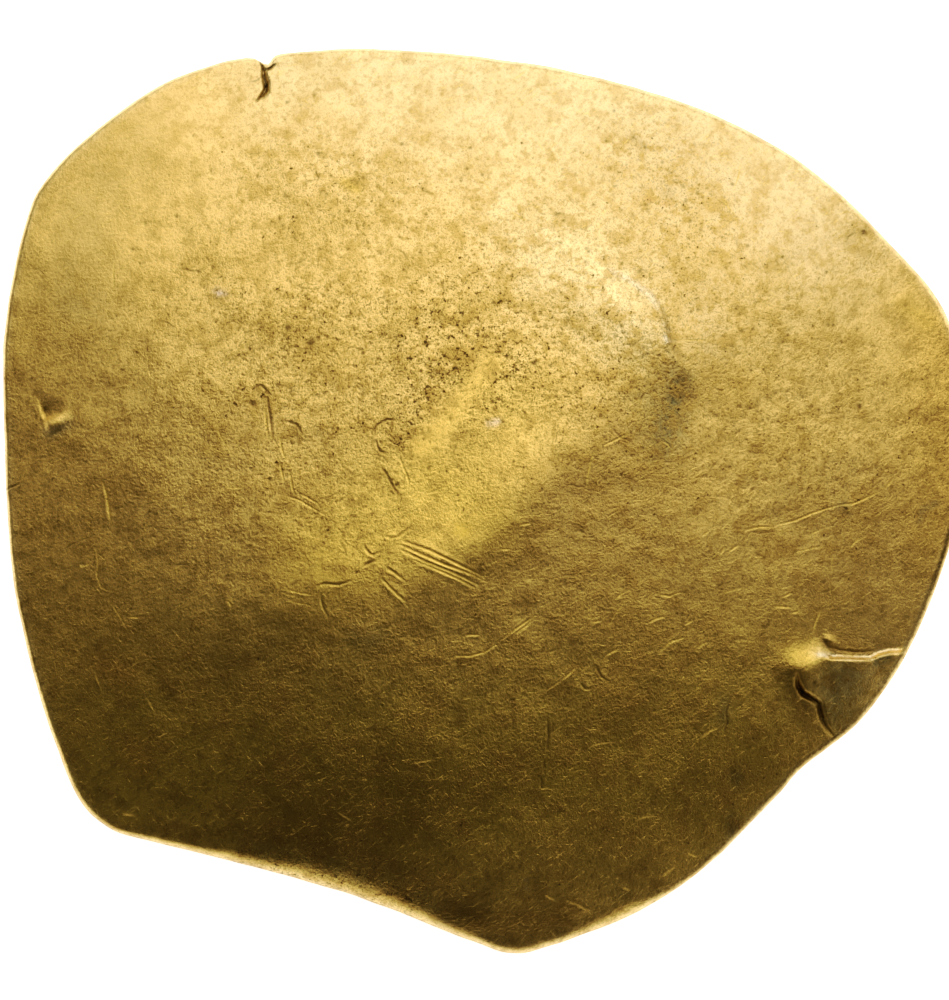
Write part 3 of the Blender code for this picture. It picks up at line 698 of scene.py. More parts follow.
def along(x, y, points):
    """Distance from a line of points, and the share of the line at the nearest place."""
    line = np.array(points, float)
    if len(line) == 1:
        return np.hypot(x - line[0, 0], y - line[0, 1]), np.full(np.shape(x), 0.5)
    lengths = np.hypot(*(line[1:] - line[:-1]).T)
    nearest = np.full(np.shape(x), np.inf)
    place = np.zeros(np.shape(x))
    passed = 0.0
    for start, end, length in zip(line[:-1], line[1:], lengths):
        share = ((x - start[0]) * (end[0] - start[0]) + (y - start[1]) * (end[1] - start[1])) / length**2
        share = np.clip(share, 0.0, 1.0)
        across = x - start[0] - share * (end[0] - start[0])
        up = y - start[1] - share * (end[1] - start[1])
        distance = np.hypot(across, up)
        closer = distance < nearest
        nearest = np.where(closer, distance, nearest)
        place = np.where(closer, (passed + share * length) / lengths.sum(), place)
        passed += length
    return nearest, place


def fade_out(place):
    """1 along the middle of a line, falling at both ends."""
    return np.sin(math.pi * (FADE_MARGIN + (1.0 - 2.0 * FADE_MARGIN) * place)) ** FADE_POWER


def stroke(x, y, points, depth, half_width):
    """A groove with soft sides that fades out at both ends."""
    distance, place = along(x, y, points)
    return depth * fade_out(place) * np.exp(-((distance / half_width) ** 2))


def noise(x, y, size, seed):
    """Smooth random values from about -1 to 1, with features of the given size."""
    across, up = x / size, y / size
    column, row = np.floor(across).astype(np.int64), np.floor(up).astype(np.int64)
    dx, dy = across - column, up - row

    def slope(i, j):
        mixed = ((column + i) * NOISE_MIX[0] + (row + j) * NOISE_MIX[1] + seed * NOISE_MIX[2]) & NOISE_BITS
        mixed = ((mixed ^ (mixed >> 13)) * NOISE_MIX[3]) & NOISE_BITS
        angle = (mixed ^ (mixed >> 16)) / (NOISE_BITS + 1.0) * 2.0 * math.pi
        return np.cos(angle) * (dx - i) + np.sin(angle) * (dy - j)

    ease_x, ease_y = smooth(dx), smooth(dy)
    low = slope(0, 0) * (1 - ease_x) + slope(1, 0) * ease_x
    high = slope(0, 1) * (1 - ease_x) + slope(1, 1) * ease_x
    return NOISE_GAIN * (low * (1 - ease_y) + high * ease_y)


def layers(x, y, rows):
    """Noise in layers, each with its height, the width of its features and its seed."""
    return sum(height * noise(x, y, width, seed) for height, width, seed in rows)


def from_photo(pixels):
    """Places in millimetres of points given as pixels of the photograph."""
    places = np.array(pixels, float)
    across = (places[:, 0] - MIDDLE_PIXEL[0]) / PIXELS_PER_MM
    up = (MIDDLE_PIXEL[1] - places[:, 1]) / PIXELS_PER_MM
    return np.stack([across, up], 1)


def dome_fall(x, y):
    """0 at the middle and about 1 at the rim, round at first and of the outline's soft shape at last."""
    radius, bearing = polar(x, y, MIDDLE)
    reach = sum(rim_reach(bearing + math.radians(turn)) for turn in SOFT_TURNS) / len(SOFT_TURNS)
    share = np.clip(radius / reach, 0.0, 1.0)
    return radius**2 / (MEAN_RADIUS**2 + (reach**2 - MEAN_RADIUS**2) * share**4)


def brow_fall(x, y):
    """Drop below the dome beyond the brow."""
    total = 0.0
    for middle_x, middle_y, bearing, slope, lasting, bend_width, widening in BROW_SLOPES:
        ahead_x, ahead_y = math.cos(math.radians(bearing)), math.sin(math.radians(bearing))
        sideways = (y - middle_y) * ahead_x - (x - middle_x) * ahead_y
        width = bend_width + widening * np.maximum(sideways - BROW_WIDENS_FROM, 0.0)
        beyond = ((x - middle_x) * ahead_x + (y - middle_y) * ahead_y) / width + 0.5
        bend = np.clip(beyond, 0.0, 1.0)
        past = width * (bend**3 - 0.5 * bend**4 + np.maximum(beyond - 1.0, 0.0))
        total = total + (slope * lasting * (1.0 - np.exp(-past / lasting))) ** BROW_BLEND
    return total ** (1.0 / BROW_BLEND)


def flap(x, y):
    """Height that the folded metal adds: a rounded scarp up to its crest, then an even fall outwards."""
    crest_x, crest_y = np.array(FLAP_CREST).T
    scarp_x, scarp = np.array(FLAP_SCARP).T
    side_y, side_x = np.array(FLAP_SIDE)[::-1].T
    below = np.interp(x, crest_x, crest_y) - y
    climb = np.clip(1.0 + below / np.interp(x, scarp_x, scarp), 0.0, 1.0)
    slope = np.where(below < 0.0, smooth(climb), np.clip(1.0 - below / FLAP_REACH, 0.0, 1.0))
    low_side = smooth((x - np.interp(y, side_y, side_x)) / FLAP_SHARP_SIDE + 0.5)
    high_side = smooth((x - FLAP_TAPER[0]) / (FLAP_TAPER[1] - FLAP_TAPER[0]))
    inside = high_side + (low_side - high_side) * smooth((FLAP_SIDE_BELOW - y) / FLAP_SIDE_BLEND)
    return FLAP_RISE * slope * inside + stroke(x, y, FLAP_TONGUE, FLAP_TONGUE_RISE, FLAP_TONGUE_HALF)


def dent(x, y):
    """Depth of the wedge-shaped dent, less the lip of metal that it pushed up."""
    across, up = x - DENT_CORNER[0], y - DENT_CORNER[1]
    wall, lip = math.radians(DENT_WALL_BEARING), math.radians(DENT_LIP_BEARING)
    from_wall = across * math.sin(wall) - up * math.cos(wall)
    from_lip = up * math.cos(lip) - across * math.sin(lip)
    distance = np.hypot(across, up)
    hollow = smooth(from_wall / DENT_WALL + 0.5) * smooth(from_lip / DENT_WALL + 0.5)
    hollow = hollow * smooth(1.0 - distance / DENT_REACH)
    pushed = np.exp(-(((from_lip + DENT_LIP_OUT) / DENT_LIP_HALF) ** 2))
    pushed = pushed * smooth(DENT_LIP_SPAN - distance / DENT_LIP_FADE)
    return DENT_DEPTH * hollow - DENT_LIP_RISE * pushed * smooth(from_wall / DENT_LIP_START + 0.5)


def nose(x, y):
    """Height of the low swell that ends in a narrow step on its right."""
    line = from_photo(NOSE_STEP)
    step_x, step_y = line[::-1].T
    distance, place = along(x, y, line)
    inside = np.where(np.interp(y, step_y, step_x) > x, distance, -distance)
    swell = smooth(inside / NOSE_WIDTH + 0.5) * np.exp(-np.maximum(inside, 0.0) / NOSE_LENGTH)
    return NOSE_RISE * swell * smooth(place / NOSE_ENDS) * smooth((1.0 - place) / NOSE_ENDS)


def face_height(x, y):
    height = RIM_TOP + DOME_RISE * (1.0 - dome_fall(x, y)) + TILT_Y * y - brow_fall(x, y)
    for row in BROAD_STROKES:
        height = height - stroke(x, y, *row)
    return height + flap(x, y) + nose(x, y) - dent(x, y) + layers(x, y, FACE_UNEVENNESS)


def underside_height(x, y):
    radius, bearing = polar(x, y, MIDDLE)
    gaps = [bearing_gap(bearing, rest) for rest in REST_BEARINGS]
    foot = REST_GAP * smooth((np.minimum.reduce(gaps) - REST_HALF) / REST_FADE)
    dish = np.clip(1.0 - dome_fall(x, y) / DISH_SHARE**2, 0.0, 1.0)
    return foot * (1.0 - dish) + DISH_RISE * dish


def underside_relief(x, y):
    """How far the worn struck design stands down from the dish."""
    relief = layers(x, y, DISH_UNEVENNESS)
    for row in WORN_LINES + [([pellet], PELLET_HEIGHT, PELLET_HALF) for pellet in PELLETS]:
        relief = relief + stroke(x, y, *row)
    return relief * smooth(RELIEF_FADE - RELIEF_FADE * dome_fall(x, y) / DISH_SHARE**2)


def all_marks():
    """Every mark as its line in millimetres, half width, depth, raised edges, dirt and scuffing."""
    marks = [(from_photo(line), *KINDS[kind]) for kind, lines in MARKS.items() for line in lines]
    random = np.random.default_rng(PIT_SEED)
    for middle, spread, count, dirt in PIT_CLOUDS:
        for _ in range(count):
            place = from_photo([np.array(middle) + random.normal(0.0, PIT_SPREAD, 2) * spread])
            turn = random.uniform(0.0, math.pi)
            half = PIT_HALF[0] + (PIT_HALF[1] - PIT_HALF[0]) * random.random() ** 2
            stretch = half * random.uniform(0.0, PIT_STRETCH)
            far_end = place + stretch * np.array([[math.cos(turn), PIT_FLATTENING * math.sin(turn)]])
            line = np.concatenate([place, far_end]) if stretch > PIT_LEAST_STRETCH else place
            soiled = dirt * random.uniform(*PIT_DIRT)
            radius, bearing = polar(*place[0], MIDDLE)
            if radius < rim_reach(bearing) - PIT_RIM_MARGIN:
                marks.append((line, half, PIT_DEPTH_SHARE * half, PIT_EDGES, soiled, 0.0))
    return marks


def near(x, y, line, margin):
    """Numbers of the points in the box round a line."""
    low, high = line.min(0) - margin, line.max(0) + margin
    return np.nonzero((x > low[0]) & (x < high[0]) & (y > low[1]) & (y < high[1]))[0]


def mark_effects(x, y, marks):
    """Height, dirt and scuffing that the marks give to each point."""
    height, dirt, scuffing = np.zeros(len(x)), np.zeros(len(x)), np.zeros(len(x))
    for line, half, depth, edges, soiled, scuffed in marks:
        index = near(x, y, line, MARK_REACH * half)
        distance, place = along(x[index], y[index], line)
        fade = fade_out(place)
        groove = np.exp(-((distance / half) ** 2)) * fade
        raised = np.exp(-(((distance / half - RAISED_AT) / RAISED_HALF) ** 2)) * fade
        height[index] += depth * (edges * raised - groove)
        dirt[index] = np.maximum(dirt[index], soiled * groove)
        scuffing[index] = np.maximum(scuffing[index], scuffed * groove)
    return height, dirt, scuffing


def soft_spot(x, y, pixels, half):
    """Numbers of the points near a line of the photograph, and how far it affects each of them."""
    line = from_photo(pixels)
    index = near(x, y, line, SPOT_REACH * half)
    distance, _ = along(x[index], y[index], line)
    return index, np.exp(-((distance / half) ** 2))


def tint_and_painted_light(x, y):
    """The metal's colour at each point of the face, with painted highlights, sheen and shade mixed in."""
    colour = np.tile(np.array(GOLD), (len(x), 1))
    for stain, strength, half, pixels in BROAD_TONES_AND_PAINTED_LIGHT + STAINS_AND_PAINTED_LIGHT:
        index, spot = soft_spot(x, y, pixels, half)
        share = (strength * spot)[:, None]
        colour[index] = colour[index] * (1.0 - share) + np.array(stain) * share
    radius, bearing = polar(x, y, MIDDLE)
    # Painted highlight along the rim, where it catches the pale floor
    share = (RIM_PALENESS_AND_REFLECTION * np.exp(-(((rim_reach(bearing) - radius) / RIM_REFLECTION_WIDTH) ** 2)))[:, None]
    return colour * (1.0 - share) + np.array(PAINTED_HIGHLIGHT_CREAM) * share


def patched(x, y, base, patches):
    """An amount that is the same everywhere but for soft patches of more or less."""
    total = np.full(len(x), base)
    for amount, half, pixels in patches:
        index, spot = soft_spot(x, y, pixels, half)
        total[index] += amount * spot
    return np.maximum(total, 0.0)


def rim_setback(bearing):
    """How far the split's mouth and small unevenness move the rim in from the smooth outline."""
    degrees, depths = np.array(MOUTH).T
    mouth = np.interp(np.degrees(bearing) % 360.0, degrees, depths, left=0.0, right=0.0)
    x, y = MEAN_RADIUS * np.cos(bearing), MEAN_RADIUS * np.sin(bearing)
    return mouth + layers(x, y, RIM_WOBBLE)


def spoke_bearings():
    """Bearings evenly spaced along the rim, and closer where it is broken."""
    bearings = np.linspace(-math.pi, math.pi, BEARING_STEPS)
    reach = rim_reach(bearings)
    steps = np.hypot(np.diff(reach * np.cos(bearings)), np.diff(reach * np.sin(bearings)))
    middles = 0.5 * (bearings[1:] + bearings[:-1])
    for degrees, half in CLOSE_SPOKES:
        steps = steps * (1.0 + (CLOSENESS - 1.0) * smooth(2.0 - bearing_gap(middles, degrees) / half))
    passed = np.concatenate([[0.0], np.cumsum(steps)])
    return np.interp(np.arange(WALL_SPOKES) / WALL_SPOKES * passed[-1], passed, bearings)


def wall_rings(marks):
    """Rings of points from the edge of the face to the edge of the underside, and the dirt and painted shade
    of the first.
    """
    bearing = spoke_bearings()
    reach = rim_reach(bearing) - rim_setback(bearing)
    width = around(bearing, [(row[0], row[1]) for row in SHOULDER])
    drop = around(bearing, [(row[0], row[2]) for row in SHOULDER])
    across, up = np.cos(bearing), np.sin(bearing)
    width = width * (1.0 + layers(reach * across, reach * up, SHOULDER_UNEVENNESS))
    edge = reach - width
    rings, dirt = [], []
    rough_height, shift, rough_width, seed = SHOULDER_ROUGHNESS
    for ring in range(SHOULDER_RINGS + 1):
        angle = 0.5 * math.pi * ring / SHOULDER_RINGS
        radius = edge + width * math.sin(angle)
        x, y = radius * across, radius * up
        marked, soiled, _ = mark_effects(x, y, marks)
        rough = rough_height * math.sin(angle) * noise(x + shift * ring, y, rough_width, seed)
        height = face_height(x, y) - drop * (1.0 - math.cos(angle)) + marked + rough
        rings.append(np.stack([x, y, height], 1))
        dirt.append(np.maximum(soiled, around(bearing, RIM_DIRT_AND_SHADE) * RIM_DIRT_AND_SHADE_BY_RING[ring]))
    inner = reach - TOE_WIDTH
    high = rings[-1][:, 2]
    low = underside_height(inner * across, inner * up) + TOE_RISE
    rough_height, shift, rough_width, seed = WALL_ROUGHNESS
    for ring in range(1, WALL_RINGS + 1):
        share = ring / (WALL_RINGS + 1)
        radius = reach + rough_height * noise(reach * across + shift * ring, reach * up, rough_width, seed)
        rings.append(np.stack([radius * across, radius * up, high + (low - high) * share], 1))
    for ring in range(TOE_RINGS + 1):
        angle = 0.5 * math.pi * ring / TOE_RINGS
        radius = reach - TOE_WIDTH * (1.0 - math.cos(angle))
        height = underside_height(radius * across, radius * up) + TOE_RISE * (1.0 - math.sin(angle))
        rings.append(np.stack([radius * across, radius * up, height], 1))
    return rings, dirt


def hexagonal(spacing, seed):
    """Slightly shaken points in even rows over the whole flan."""
    rows = np.arange(-GRID_HALF, GRID_HALF, spacing * GRID_ROW_STEP)
    columns = np.arange(-GRID_HALF, GRID_HALF, spacing)
    x, y = np.meshgrid(columns, rows)
    x = x + 0.5 * spacing * (np.arange(len(rows)) % 2)[:, None]
    points = np.stack([x.ravel(), y.ravel()], 1)
    return points + np.random.default_rng(seed).uniform(-GRID_SHAKE, GRID_SHAKE, points.shape) * spacing


def block(across, up, spacing):
    x, y = np.meshgrid(np.arange(*across, spacing), np.arange(*up, spacing))
    return np.stack([x.ravel(), y.ravel()], 1)


def mark_points(line, half):
    """Points in rows along a mark and round its ends."""
    rows = []
    for start, end in zip(line[:-1], line[1:]):
        length = math.hypot(*(end - start))
        count = max(1, round(length / max(MARK_STEP * half, MARK_LEAST_STEP)))
        share = ((np.arange(count) + 0.5) / count)[:, None]
        normal = np.array([start[1] - end[1], end[0] - start[0]]) / length
        for offset in MARK_ROWS:
            rows.append(start + share * (end - start) + offset * half * normal)
    for end in (line[:1], line[-1:]):
        for radius, count in MARK_ENDS:
            turn = 2.0 * math.pi * (np.arange(count) + 0.5 * radius) / count
            rows.append(end + radius * half * np.stack([np.cos(turn), np.sin(turn)], 1))
    return np.concatenate(rows)


def squares(points, size, shift=(0.0, 0.0)):
    """The number of the small square that each point lies in."""
    cells = np.floor(points / size + shift).astype(np.int64)
    return cells[:, 0] * ROW_KEY + cells[:, 1]


def thin_out(points, spacing):
    """Leaves no two points much closer than half the spacing."""
    for shift in ((0.0, 0.0), (0.5, 0.0), (0.0, 0.5), (0.5, 0.5)):
        _, first = np.unique(squares(points, spacing, shift), return_index=True)
        points = points[np.sort(first)]
    return points


def clear_of(points, others, gap):
    """The points that have none of the others in their own small square or in those round it."""
    taken = np.unique(squares(others, gap))
    own = squares(points, gap)
    keep = np.ones(len(points), bool)
    for i in (-1, 0, 1):
        for j in (-1, 0, 1):
            keep &= ~np.isin(own + i * ROW_KEY + j, taken)
    return points[keep]


def inside_of(points, ring, margin):
    """The points that lie inside a ring of points by at least the margin."""
    ring_radius, ring_bearing = polar(ring[:, 0], ring[:, 1], MIDDLE)
    radius, bearing = polar(points[:, 0], points[:, 1], MIDDLE)
    order = np.argsort(ring_bearing)
    reach = np.interp(bearing, ring_bearing[order], ring_radius[order], period=2 * math.pi)
    return points[radius < reach - margin]


def filled(ring, points):
    """Triangles over the inside of a ring, using it and the points inside it."""
    count = len(ring)
    corners = np.concatenate([ring[:, :2], points])
    edges = [(number, (number + 1) % count) for number in range(count)]
    vectors = [Vector(corner) for corner in corners.tolist()]
    found = delaunay_2d_cdt(vectors, edges, [], 1, MERGE_DISTANCE, False)
    faces = np.array(found[2])
    backward = np.sum(faces < np.roll(faces, 1, axis=1), axis=1) == 2
    in_a_bay = backward & np.all(faces < count, axis=1)
    return np.array([vector[:] for vector in found[0]]), faces[~in_a_bay]


def border_rows(ring, insets, spacing):
    rows = [ring[:, :2] * (1.0 - inset / MEAN_RADIUS) for inset in insets]
    return thin_out(np.concatenate(rows), spacing)


def with_grid(points, ring, spacing, seed, margin, gap):
    """The points and, between them, an even grid over the inside of a ring."""
    grid = inside_of(hexagonal(spacing, seed), ring, margin)
    return np.concatenate([points, clear_of(grid, points, gap)])


def face_points(ring, marks):
    """Points inside the edge of the face, fine at its marks and coarser between them."""
    fine = np.concatenate([mark_points(line, half) for line, half, *_ in marks])
    fine = thin_out(inside_of(fine, ring, MARK_SPACING), MARK_SPACING)
    for across, up, spacing in CLOSE_BLOCKS:
        grid = clear_of(block(across, up, spacing), fine, BLOCK_GAP * spacing)
        fine = np.concatenate([fine, inside_of(grid, ring, BLOCK_MARGIN * spacing)])
    border = border_rows(ring, *FACE_BORDER)
    fine = np.concatenate([fine, clear_of(border, fine, FACE_BORDER_GAP)])
    return with_grid(fine, ring, *FACE_GRID)


def underside_points(ring):
    return with_grid(border_rows(ring, *UNDERSIDE_BORDER), ring, *UNDERSIDE_GRID)


def strip_faces(upper, lower, count):
    """Triangles between two rings, given the numbers of their first points."""
    here = np.arange(count)
    after = (here + 1) % count
    return [
        np.stack([upper + here, lower + here, lower + after], 1),
        np.stack([upper + here, lower + after, upper + after], 1),
    ]


def strip_layout(rings):
    """Where the corners of the strips of the wall lie in the flat layout, in two columns."""
    count = len(rings[0])
    closed = np.concatenate([rings[0][:, :2], rings[0][:1, :2]])
    passed = np.concatenate([[0.0], np.cumsum(np.hypot(*np.diff(closed, axis=0).T))])
    steps = [np.linalg.norm(lower - upper, axis=1).mean() for upper, lower in zip(rings, rings[1:])]
    down = np.concatenate([[0.0], np.cumsum(steps)]) / sum(steps) * STRIP_WIDTH
    here = np.arange(count)
    first_half = here < count // 2
    column = np.where(first_half, *STRIP_COLUMNS)
    begun = np.where(first_half, 0.0, passed[count // 2])
    low, high = (STRIP_START + STRIP_SCALE * (passed[here + step] - begun) for step in (0, 1))
    flat = []
    for upper, lower in zip(column + down[:-1, None], column + down[1:, None]):
        corners = [np.stack(pair, 1) for pair in ((upper, low), (lower, low), (lower, high), (upper, high))]
        for picked in ((0, 1, 2), (0, 2, 3)):
            flat.append(np.stack([corners[number] for number in picked], 1))
    return flat


def laid_out(places, scale, shift):
    return places * scale + shift


def flan_mesh():
    """The closed mesh of the flan, the amounts and colours of its points, and its flat layout."""
    marks = all_marks()
    rings, ring_dirt_and_shade = wall_rings(marks)
    count = len(rings[0])

    top, top_faces = filled(rings[0], face_points(rings[0], marks))
    marked, top_dirt, top_scuffing = mark_effects(top[:, 0], top[:, 1], marks)
    top_height = face_height(top[:, 0], top[:, 1]) + marked
    top_height[:count] = rings[0][:, 2]
    low, low_faces = filled(rings[-1], underside_points(rings[-1]))
    low_height = underside_height(low[:, 0], low[:, 1]) - underside_relief(low[:, 0], low[:, 1])

    top = np.column_stack([top, top_height])
    low = np.column_stack([low, low_height])
    points = np.concatenate([top, *rings[1:-1], low])
    first = [0] + [len(top) + number * count for number in range(len(rings) - 1)]
    faces = [top_faces]
    for upper, lower in zip(first[:-1], first[1:]):
        faces += strip_faces(upper, lower, count)
    faces.append(low_faces[:, ::-1] + first[-1])
    flat = [laid_out(points[faces[0], :2], *FACE_LAYOUT)]
    flat += strip_layout(rings)
    flat.append(laid_out(points[faces[-1], :2], *UNDERSIDE_LAYOUT))

    shown = first[SHOULDER_RINGS] + count
    # The wall's dirt carries painted shade along the lower right rim, and the grime and tint carry painted
    # highlights, sheen and shade
    dirt, scuffing = np.zeros(len(points)), np.zeros(len(points))
    dirt[:shown] = np.concatenate([top_dirt, *ring_dirt_and_shade[1:]])
    dirt[:count] = ring_dirt_and_shade[0]
    scuffing[: len(top)] = top_scuffing
    soiling_and_painted_light, sand = np.full(len(points), HIDDEN_GRIME), np.full(len(points), SAND)
    soiling_and_painted_light[:shown] = patched(points[:shown, 0], points[:shown, 1], GRIME, GRIME_AND_PAINTED_LIGHT_PATCHES)
    sand[:shown] = patched(points[:shown, 0], points[:shown, 1], SAND, SAND_PATCHES)
    colours = np.ones((len(points), 4))
    colours[:, :3] = GOLD
    colours[:shown, :3] = tint_and_painted_light(points[:shown, 0], points[:shown, 1])
    for ring in range(WALL_RINGS):
        share = 1.0 - (ring + 1.0) / (WALL_RINGS + 1.0)
        begun = shown + ring * count
        colours[begun : begun + count, :3] += (colours[shown - count : shown, :3] - np.array(GOLD)) * share
        soiling_and_painted_light[begun : begun + count] += (soiling_and_painted_light[shown - count : shown] - HIDDEN_GRIME) * share
    return points, np.concatenate(faces), (dirt, scuffing, soiling_and_painted_light, sand), colours, np.concatenate(flat)


def placed(name, data):
    """A new object, linked into the scene."""
    thing = bpy.data.objects.new(name, data)
    bpy.context.scene.collection.objects.link(thing)
    return thing


def stater():
    points, faces, amounts, colours, flat = flan_mesh()
    mesh = bpy.data.meshes.new("stater_coin")
    mesh.from_pydata((points * MM).tolist(), [], faces.tolist())
    mesh.polygons.foreach_set("use_smooth", np.ones(len(faces), bool))
    mesh.uv_layers.new(name="OFBake").data.foreach_set("uv", flat.ravel().astype(np.float32))
    for name, values in zip(AMOUNTS, amounts):
        mesh.attributes.new(name, "FLOAT", "POINT").data.foreach_set("value", values.astype(np.float32))
    tint_and_painted_light_values = mesh.attributes.new("tint_and_painted_light", "FLOAT_COLOR", "POINT").data
    tint_and_painted_light_values.foreach_set("color", colours.ravel().astype(np.float32))
    mesh.materials.append(gold())
    mesh.update()
    return placed("stater_coin", mesh)


class Nodes:
    """Adds nodes to a material and joins them."""

    def __init__(self, name):
        self.material = bpy.data.materials.new(name)
        self.material.use_nodes = True
        self.tree = self.material.node_tree
        self.shader = self.tree.nodes["Principled BSDF"]

    def add(self, kind, inputs, **settings):
        node = self.tree.nodes.new(kind)
        for name, value in settings.items():
            setattr(node, name, value)
        for socket, value in inputs.items():
            self.join(value, node.inputs[socket])
        return node

    def join(self, value, socket):
        if isinstance(value, bpy.types.NodeSocket):
            self.tree.links.new(value, socket)
        else:
            socket.default_value = value

    def math(self, operation, first, second=0.0, third=0.0):
        return self.add("ShaderNodeMath", {0: first, 1: second, 2: third}, operation=operation).outputs[0]

    def attribute(self, name, output):
        return self.add("ShaderNodeAttribute", {}, attribute_name=name).outputs[output]

    def grain(self, place, size, detail, roughness, turn=0.0):
        """Noise with features of the given size in millimetres, the first along the bearing of the turn."""
        scale = tuple(side * MM for side in size)
        inputs = {"Vector": place, "Rotation": (0.0, 0.0, math.radians(turn)), "Scale": scale}
        sized = self.add("ShaderNodeMapping", inputs, vector_type="TEXTURE").outputs[0]
        inputs = {"Vector": sized, "Scale": 1.0, "Detail": detail, "Roughness": roughness}
        return self.add("ShaderNodeTexNoise", inputs).outputs["Fac"]

    def ramp(self, value, low, high, out_low=0.0, out_high=1.0):
        inputs = {0: value, 1: low, 2: high, 3: out_low, 4: out_high}
        return self.add("ShaderNodeMapRange", inputs, interpolation_type="SMOOTHSTEP").outputs[0]

    def mix(self, share, first, second):
        return self.add("ShaderNodeMix", {0: share, 6: first, 7: second}, data_type="RGBA").outputs[2]


def gold():
    """Old gold: sandy grain, mottling, scuffs, soil in the low places and fresh metal in the scratches."""
    nodes = Nodes("old_gold")
    place = nodes.add("ShaderNodeTexCoord", {}).outputs["Object"]
    # The dirt carries painted shade along the lower right rim, the grime painted highlights and shade, and
    # the tint painted highlights, sheen and shade
    dirt, scuffing, soiling_and_painted_light, sand = (nodes.attribute(name, "Fac") for name in AMOUNTS)
    tint_and_painted_light_colour = nodes.attribute("tint_and_painted_light", "Color")

    grains = {name: nodes.grain(place, *row) for name, row in GRAINS.items()}
    fine, patches = grains["fine"], grains["patches"]
    scuffs = None
    for size, turn, low, high in SCUFFS:
        more = nodes.ramp(nodes.grain(place, size, *SCUFF_DETAIL, turn), low, high)
        scuffs = nodes.math("MAXIMUM", scuffs, more) if scuffs else more

    weight = nodes.math("MULTIPLY_ADD", soiling_and_painted_light, *MIDDLING_RELIEF)
    height = nodes.math("MULTIPLY_ADD", grains["middling"], weight, fine)
    height = nodes.math("MULTIPLY_ADD", patches, nodes.math("MULTIPLY", soiling_and_painted_light, PATCHY_RELIEF), height)
    height = nodes.math("MULTIPLY_ADD", scuffs, SCUFF_RELIEF, height)
    coarse = nodes.math("MULTIPLY", sand, nodes.ramp(grains["broad"], *SAND_RANGE))
    height = nodes.math("MULTIPLY", height, coarse)
    bump = nodes.add("ShaderNodeBump", {"Strength": 1.0, "Distance": GRAIN_HEIGHT * MM, "Height": height})

    start = nodes.math("MULTIPLY_ADD", soiling_and_painted_light, SPECKS_BY_SOILING, SPECKS_FROM)
    start = nodes.math("MULTIPLY_ADD", patches, SPECKS_BY_PATCH, start)
    past = nodes.math("MULTIPLY", nodes.math("SUBTRACT", grains["crumbs"], start), SPECK_SHARPNESS)
    specks = nodes.ramp(past, 0.0, 1.0, 0.0, SPECK_STRENGTH)
    deep = nodes.math("MULTIPLY_ADD", soiling_and_painted_light, *HOLLOW_SOIL)
    hollows = nodes.math("MULTIPLY", nodes.ramp(fine, *HOLLOW_RANGE), deep)
    patchy = nodes.math("MULTIPLY", dirt, nodes.ramp(fine, *MARK_SOIL))
    soiled = nodes.math("MAXIMUM", nodes.math("MAXIMUM", specks, hollows), patchy)
    fresh = nodes.math("MAXIMUM", nodes.math("MULTIPLY", scuffs, SCUFF_FRESHNESS), scuffing)

    worn = nodes.math("MULTIPLY_ADD", soiling_and_painted_light, *MOTTLING_BY_SOILING)
    mottled = tint_and_painted_light_colour
    for name, low, high, most, shade in MOTTLES:
        share = nodes.math("MULTIPLY", nodes.ramp(grains[name], low, high, 0.0, most), worn)
        mottled = nodes.mix(share, mottled, shade)
    bright = nodes.mix(nodes.math("MULTIPLY", fresh, FRESH_STRENGTH), mottled, FRESH_METAL)
    colour = nodes.mix(soiled, bright, SOIL)

    roughness = nodes.math("MULTIPLY_ADD", fine, GRAIN_ROUGHNESS, GOLD_ROUGHNESS)
    for amount, added in ((soiled, SOIL_ROUGHNESS), (scuffs, SCUFF_ROUGHNESS), (scuffing, SCRATCH_ROUGHNESS)):
        roughness = nodes.math("MULTIPLY_ADD", amount, added, roughness)

    nodes.join(colour, nodes.shader.inputs["Base Color"])
    nodes.join(roughness, nodes.shader.inputs["Roughness"])
    nodes.join(bump.outputs[0], nodes.shader.inputs["Normal"])
    nodes.shader.inputs["Metallic"].default_value = 1.0
    return nodes.material


def pale_floor():
    nodes = Nodes("floor")
    shader = nodes.shader.inputs
    shader["Base Color"].default_value = FLOOR_COLOUR
    shader["Roughness"].default_value = FLOOR_ROUGHNESS
    shader["Specular IOR Level"].default_value = 0.0
    shader["Emission Color"].default_value = (1.0, 1.0, 1.0, 1.0)
    shader["Emission Strength"].default_value = FLOOR_GLOW
    nodes.material.cycles.emission_sampling = "NONE"
    mesh = bpy.data.meshes.new("floor")
    half = FLOOR_HALF
    corners = [(-half, -half, 0), (half, -half, 0), (half, half, 0), (-half, half, 0)]
    mesh.from_pydata(corners, [], [(0, 1, 2, 3)])
    mesh.materials.append(nodes.material)
    return placed("floor", mesh)


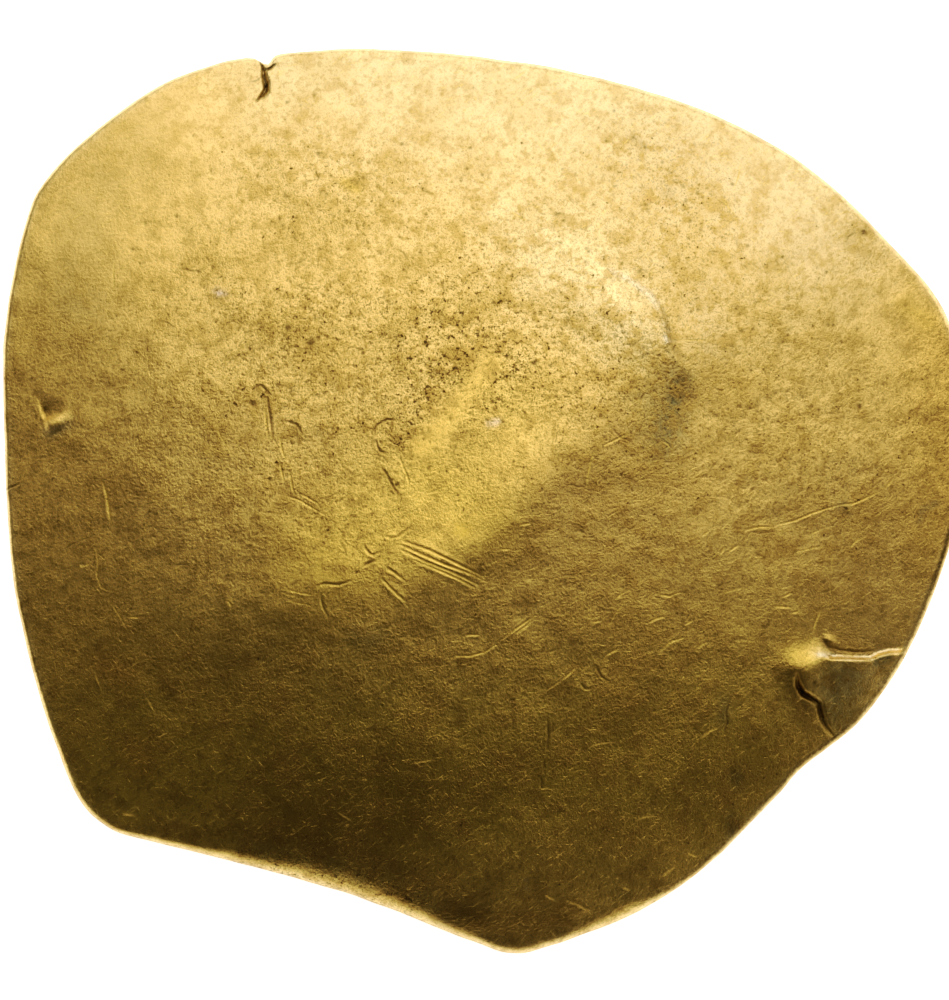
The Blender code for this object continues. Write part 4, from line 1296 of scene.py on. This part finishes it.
def softbox():
    """A large soft light that reaches from overhead down towards the far side."""
    middle = math.radians(0.5 * (SOFTBOX_FROM + SOFTBOX_TO))
    half = math.radians(0.5 * (SOFTBOX_TO - SOFTBOX_FROM))
    turn = math.radians(SOFTBOX_TURN)
    light = bpy.data.lights.new("softbox", "AREA")
    light.shape = "RECTANGLE"
    light.size = SOFTBOX_WIDTH
    light.size_y = 2.0 * SOFTBOX_DISTANCE * math.tan(half)
    light.energy = math.pi * light.size * light.size_y * SOFTBOX_RADIANCE
    across, up = math.sin(middle) * math.sin(turn), math.sin(middle) * math.cos(turn)
    direction = Vector((across, up, math.cos(middle)))
    lamp = placed("softbox", light)
    lamp.location = direction * SOFTBOX_DISTANCE
    lamp.rotation_euler = direction.to_track_quat("Z", "Y").to_euler()
    lamp.visible_camera = False


def studio_sky():
    """A dark room above with a pale band round the horizon."""
    world = bpy.data.worlds.new("studio")
    bpy.context.scene.world = world
    world.use_nodes = True
    tree = world.node_tree
    background = tree.nodes["Background"]
    direction = tree.nodes.new("ShaderNodeTexCoord")
    split = tree.nodes.new("ShaderNodeSeparateXYZ")
    tree.links.new(direction.outputs["Generated"], split.inputs[0])
    band = tree.nodes.new("ShaderNodeMapRange")
    band.interpolation_type = "SMOOTHSTEP"
    tree.links.new(split.outputs["Z"], band.inputs[0])
    for number, value in enumerate((*HORIZON_FADE, HORIZON, SKY)):
        band.inputs[number + 1].default_value = value
    tree.links.new(band.outputs[0], background.inputs["Strength"])
    background.inputs["Color"].default_value = SKY_COLOUR


def camera():
    data = bpy.data.cameras.new("camera")
    data.lens = LENS
    data.sensor_width = SENSOR
    data.clip_start, data.clip_end = CLIP
    eye = placed("camera", data)
    across, up = from_photo([[0.5 * side for side in PHOTO_SIZE]])[0]
    distance = PHOTO_SIZE[1] / PIXELS_PER_MM * LENS / SENSOR
    eye.location = (across * MM, up * MM, (RIM_PLANE + distance) * MM)
    bpy.context.scene.camera = eye


def develop():
    """Deep shadows, as in the photograph."""
    view = bpy.context.scene.view_settings
    view.view_transform = "Standard"
    view.use_curve_mapping = True
    curve = view.curve_mapping.curves[3]
    for x, y in SHADOW_TOE:
        curve.points.new(x, y)
    view.curve_mapping.update()


coin = stater()
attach(coin, "root")
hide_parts("stater")
pale_floor()
softbox()
studio_sky()
camera()
develop()
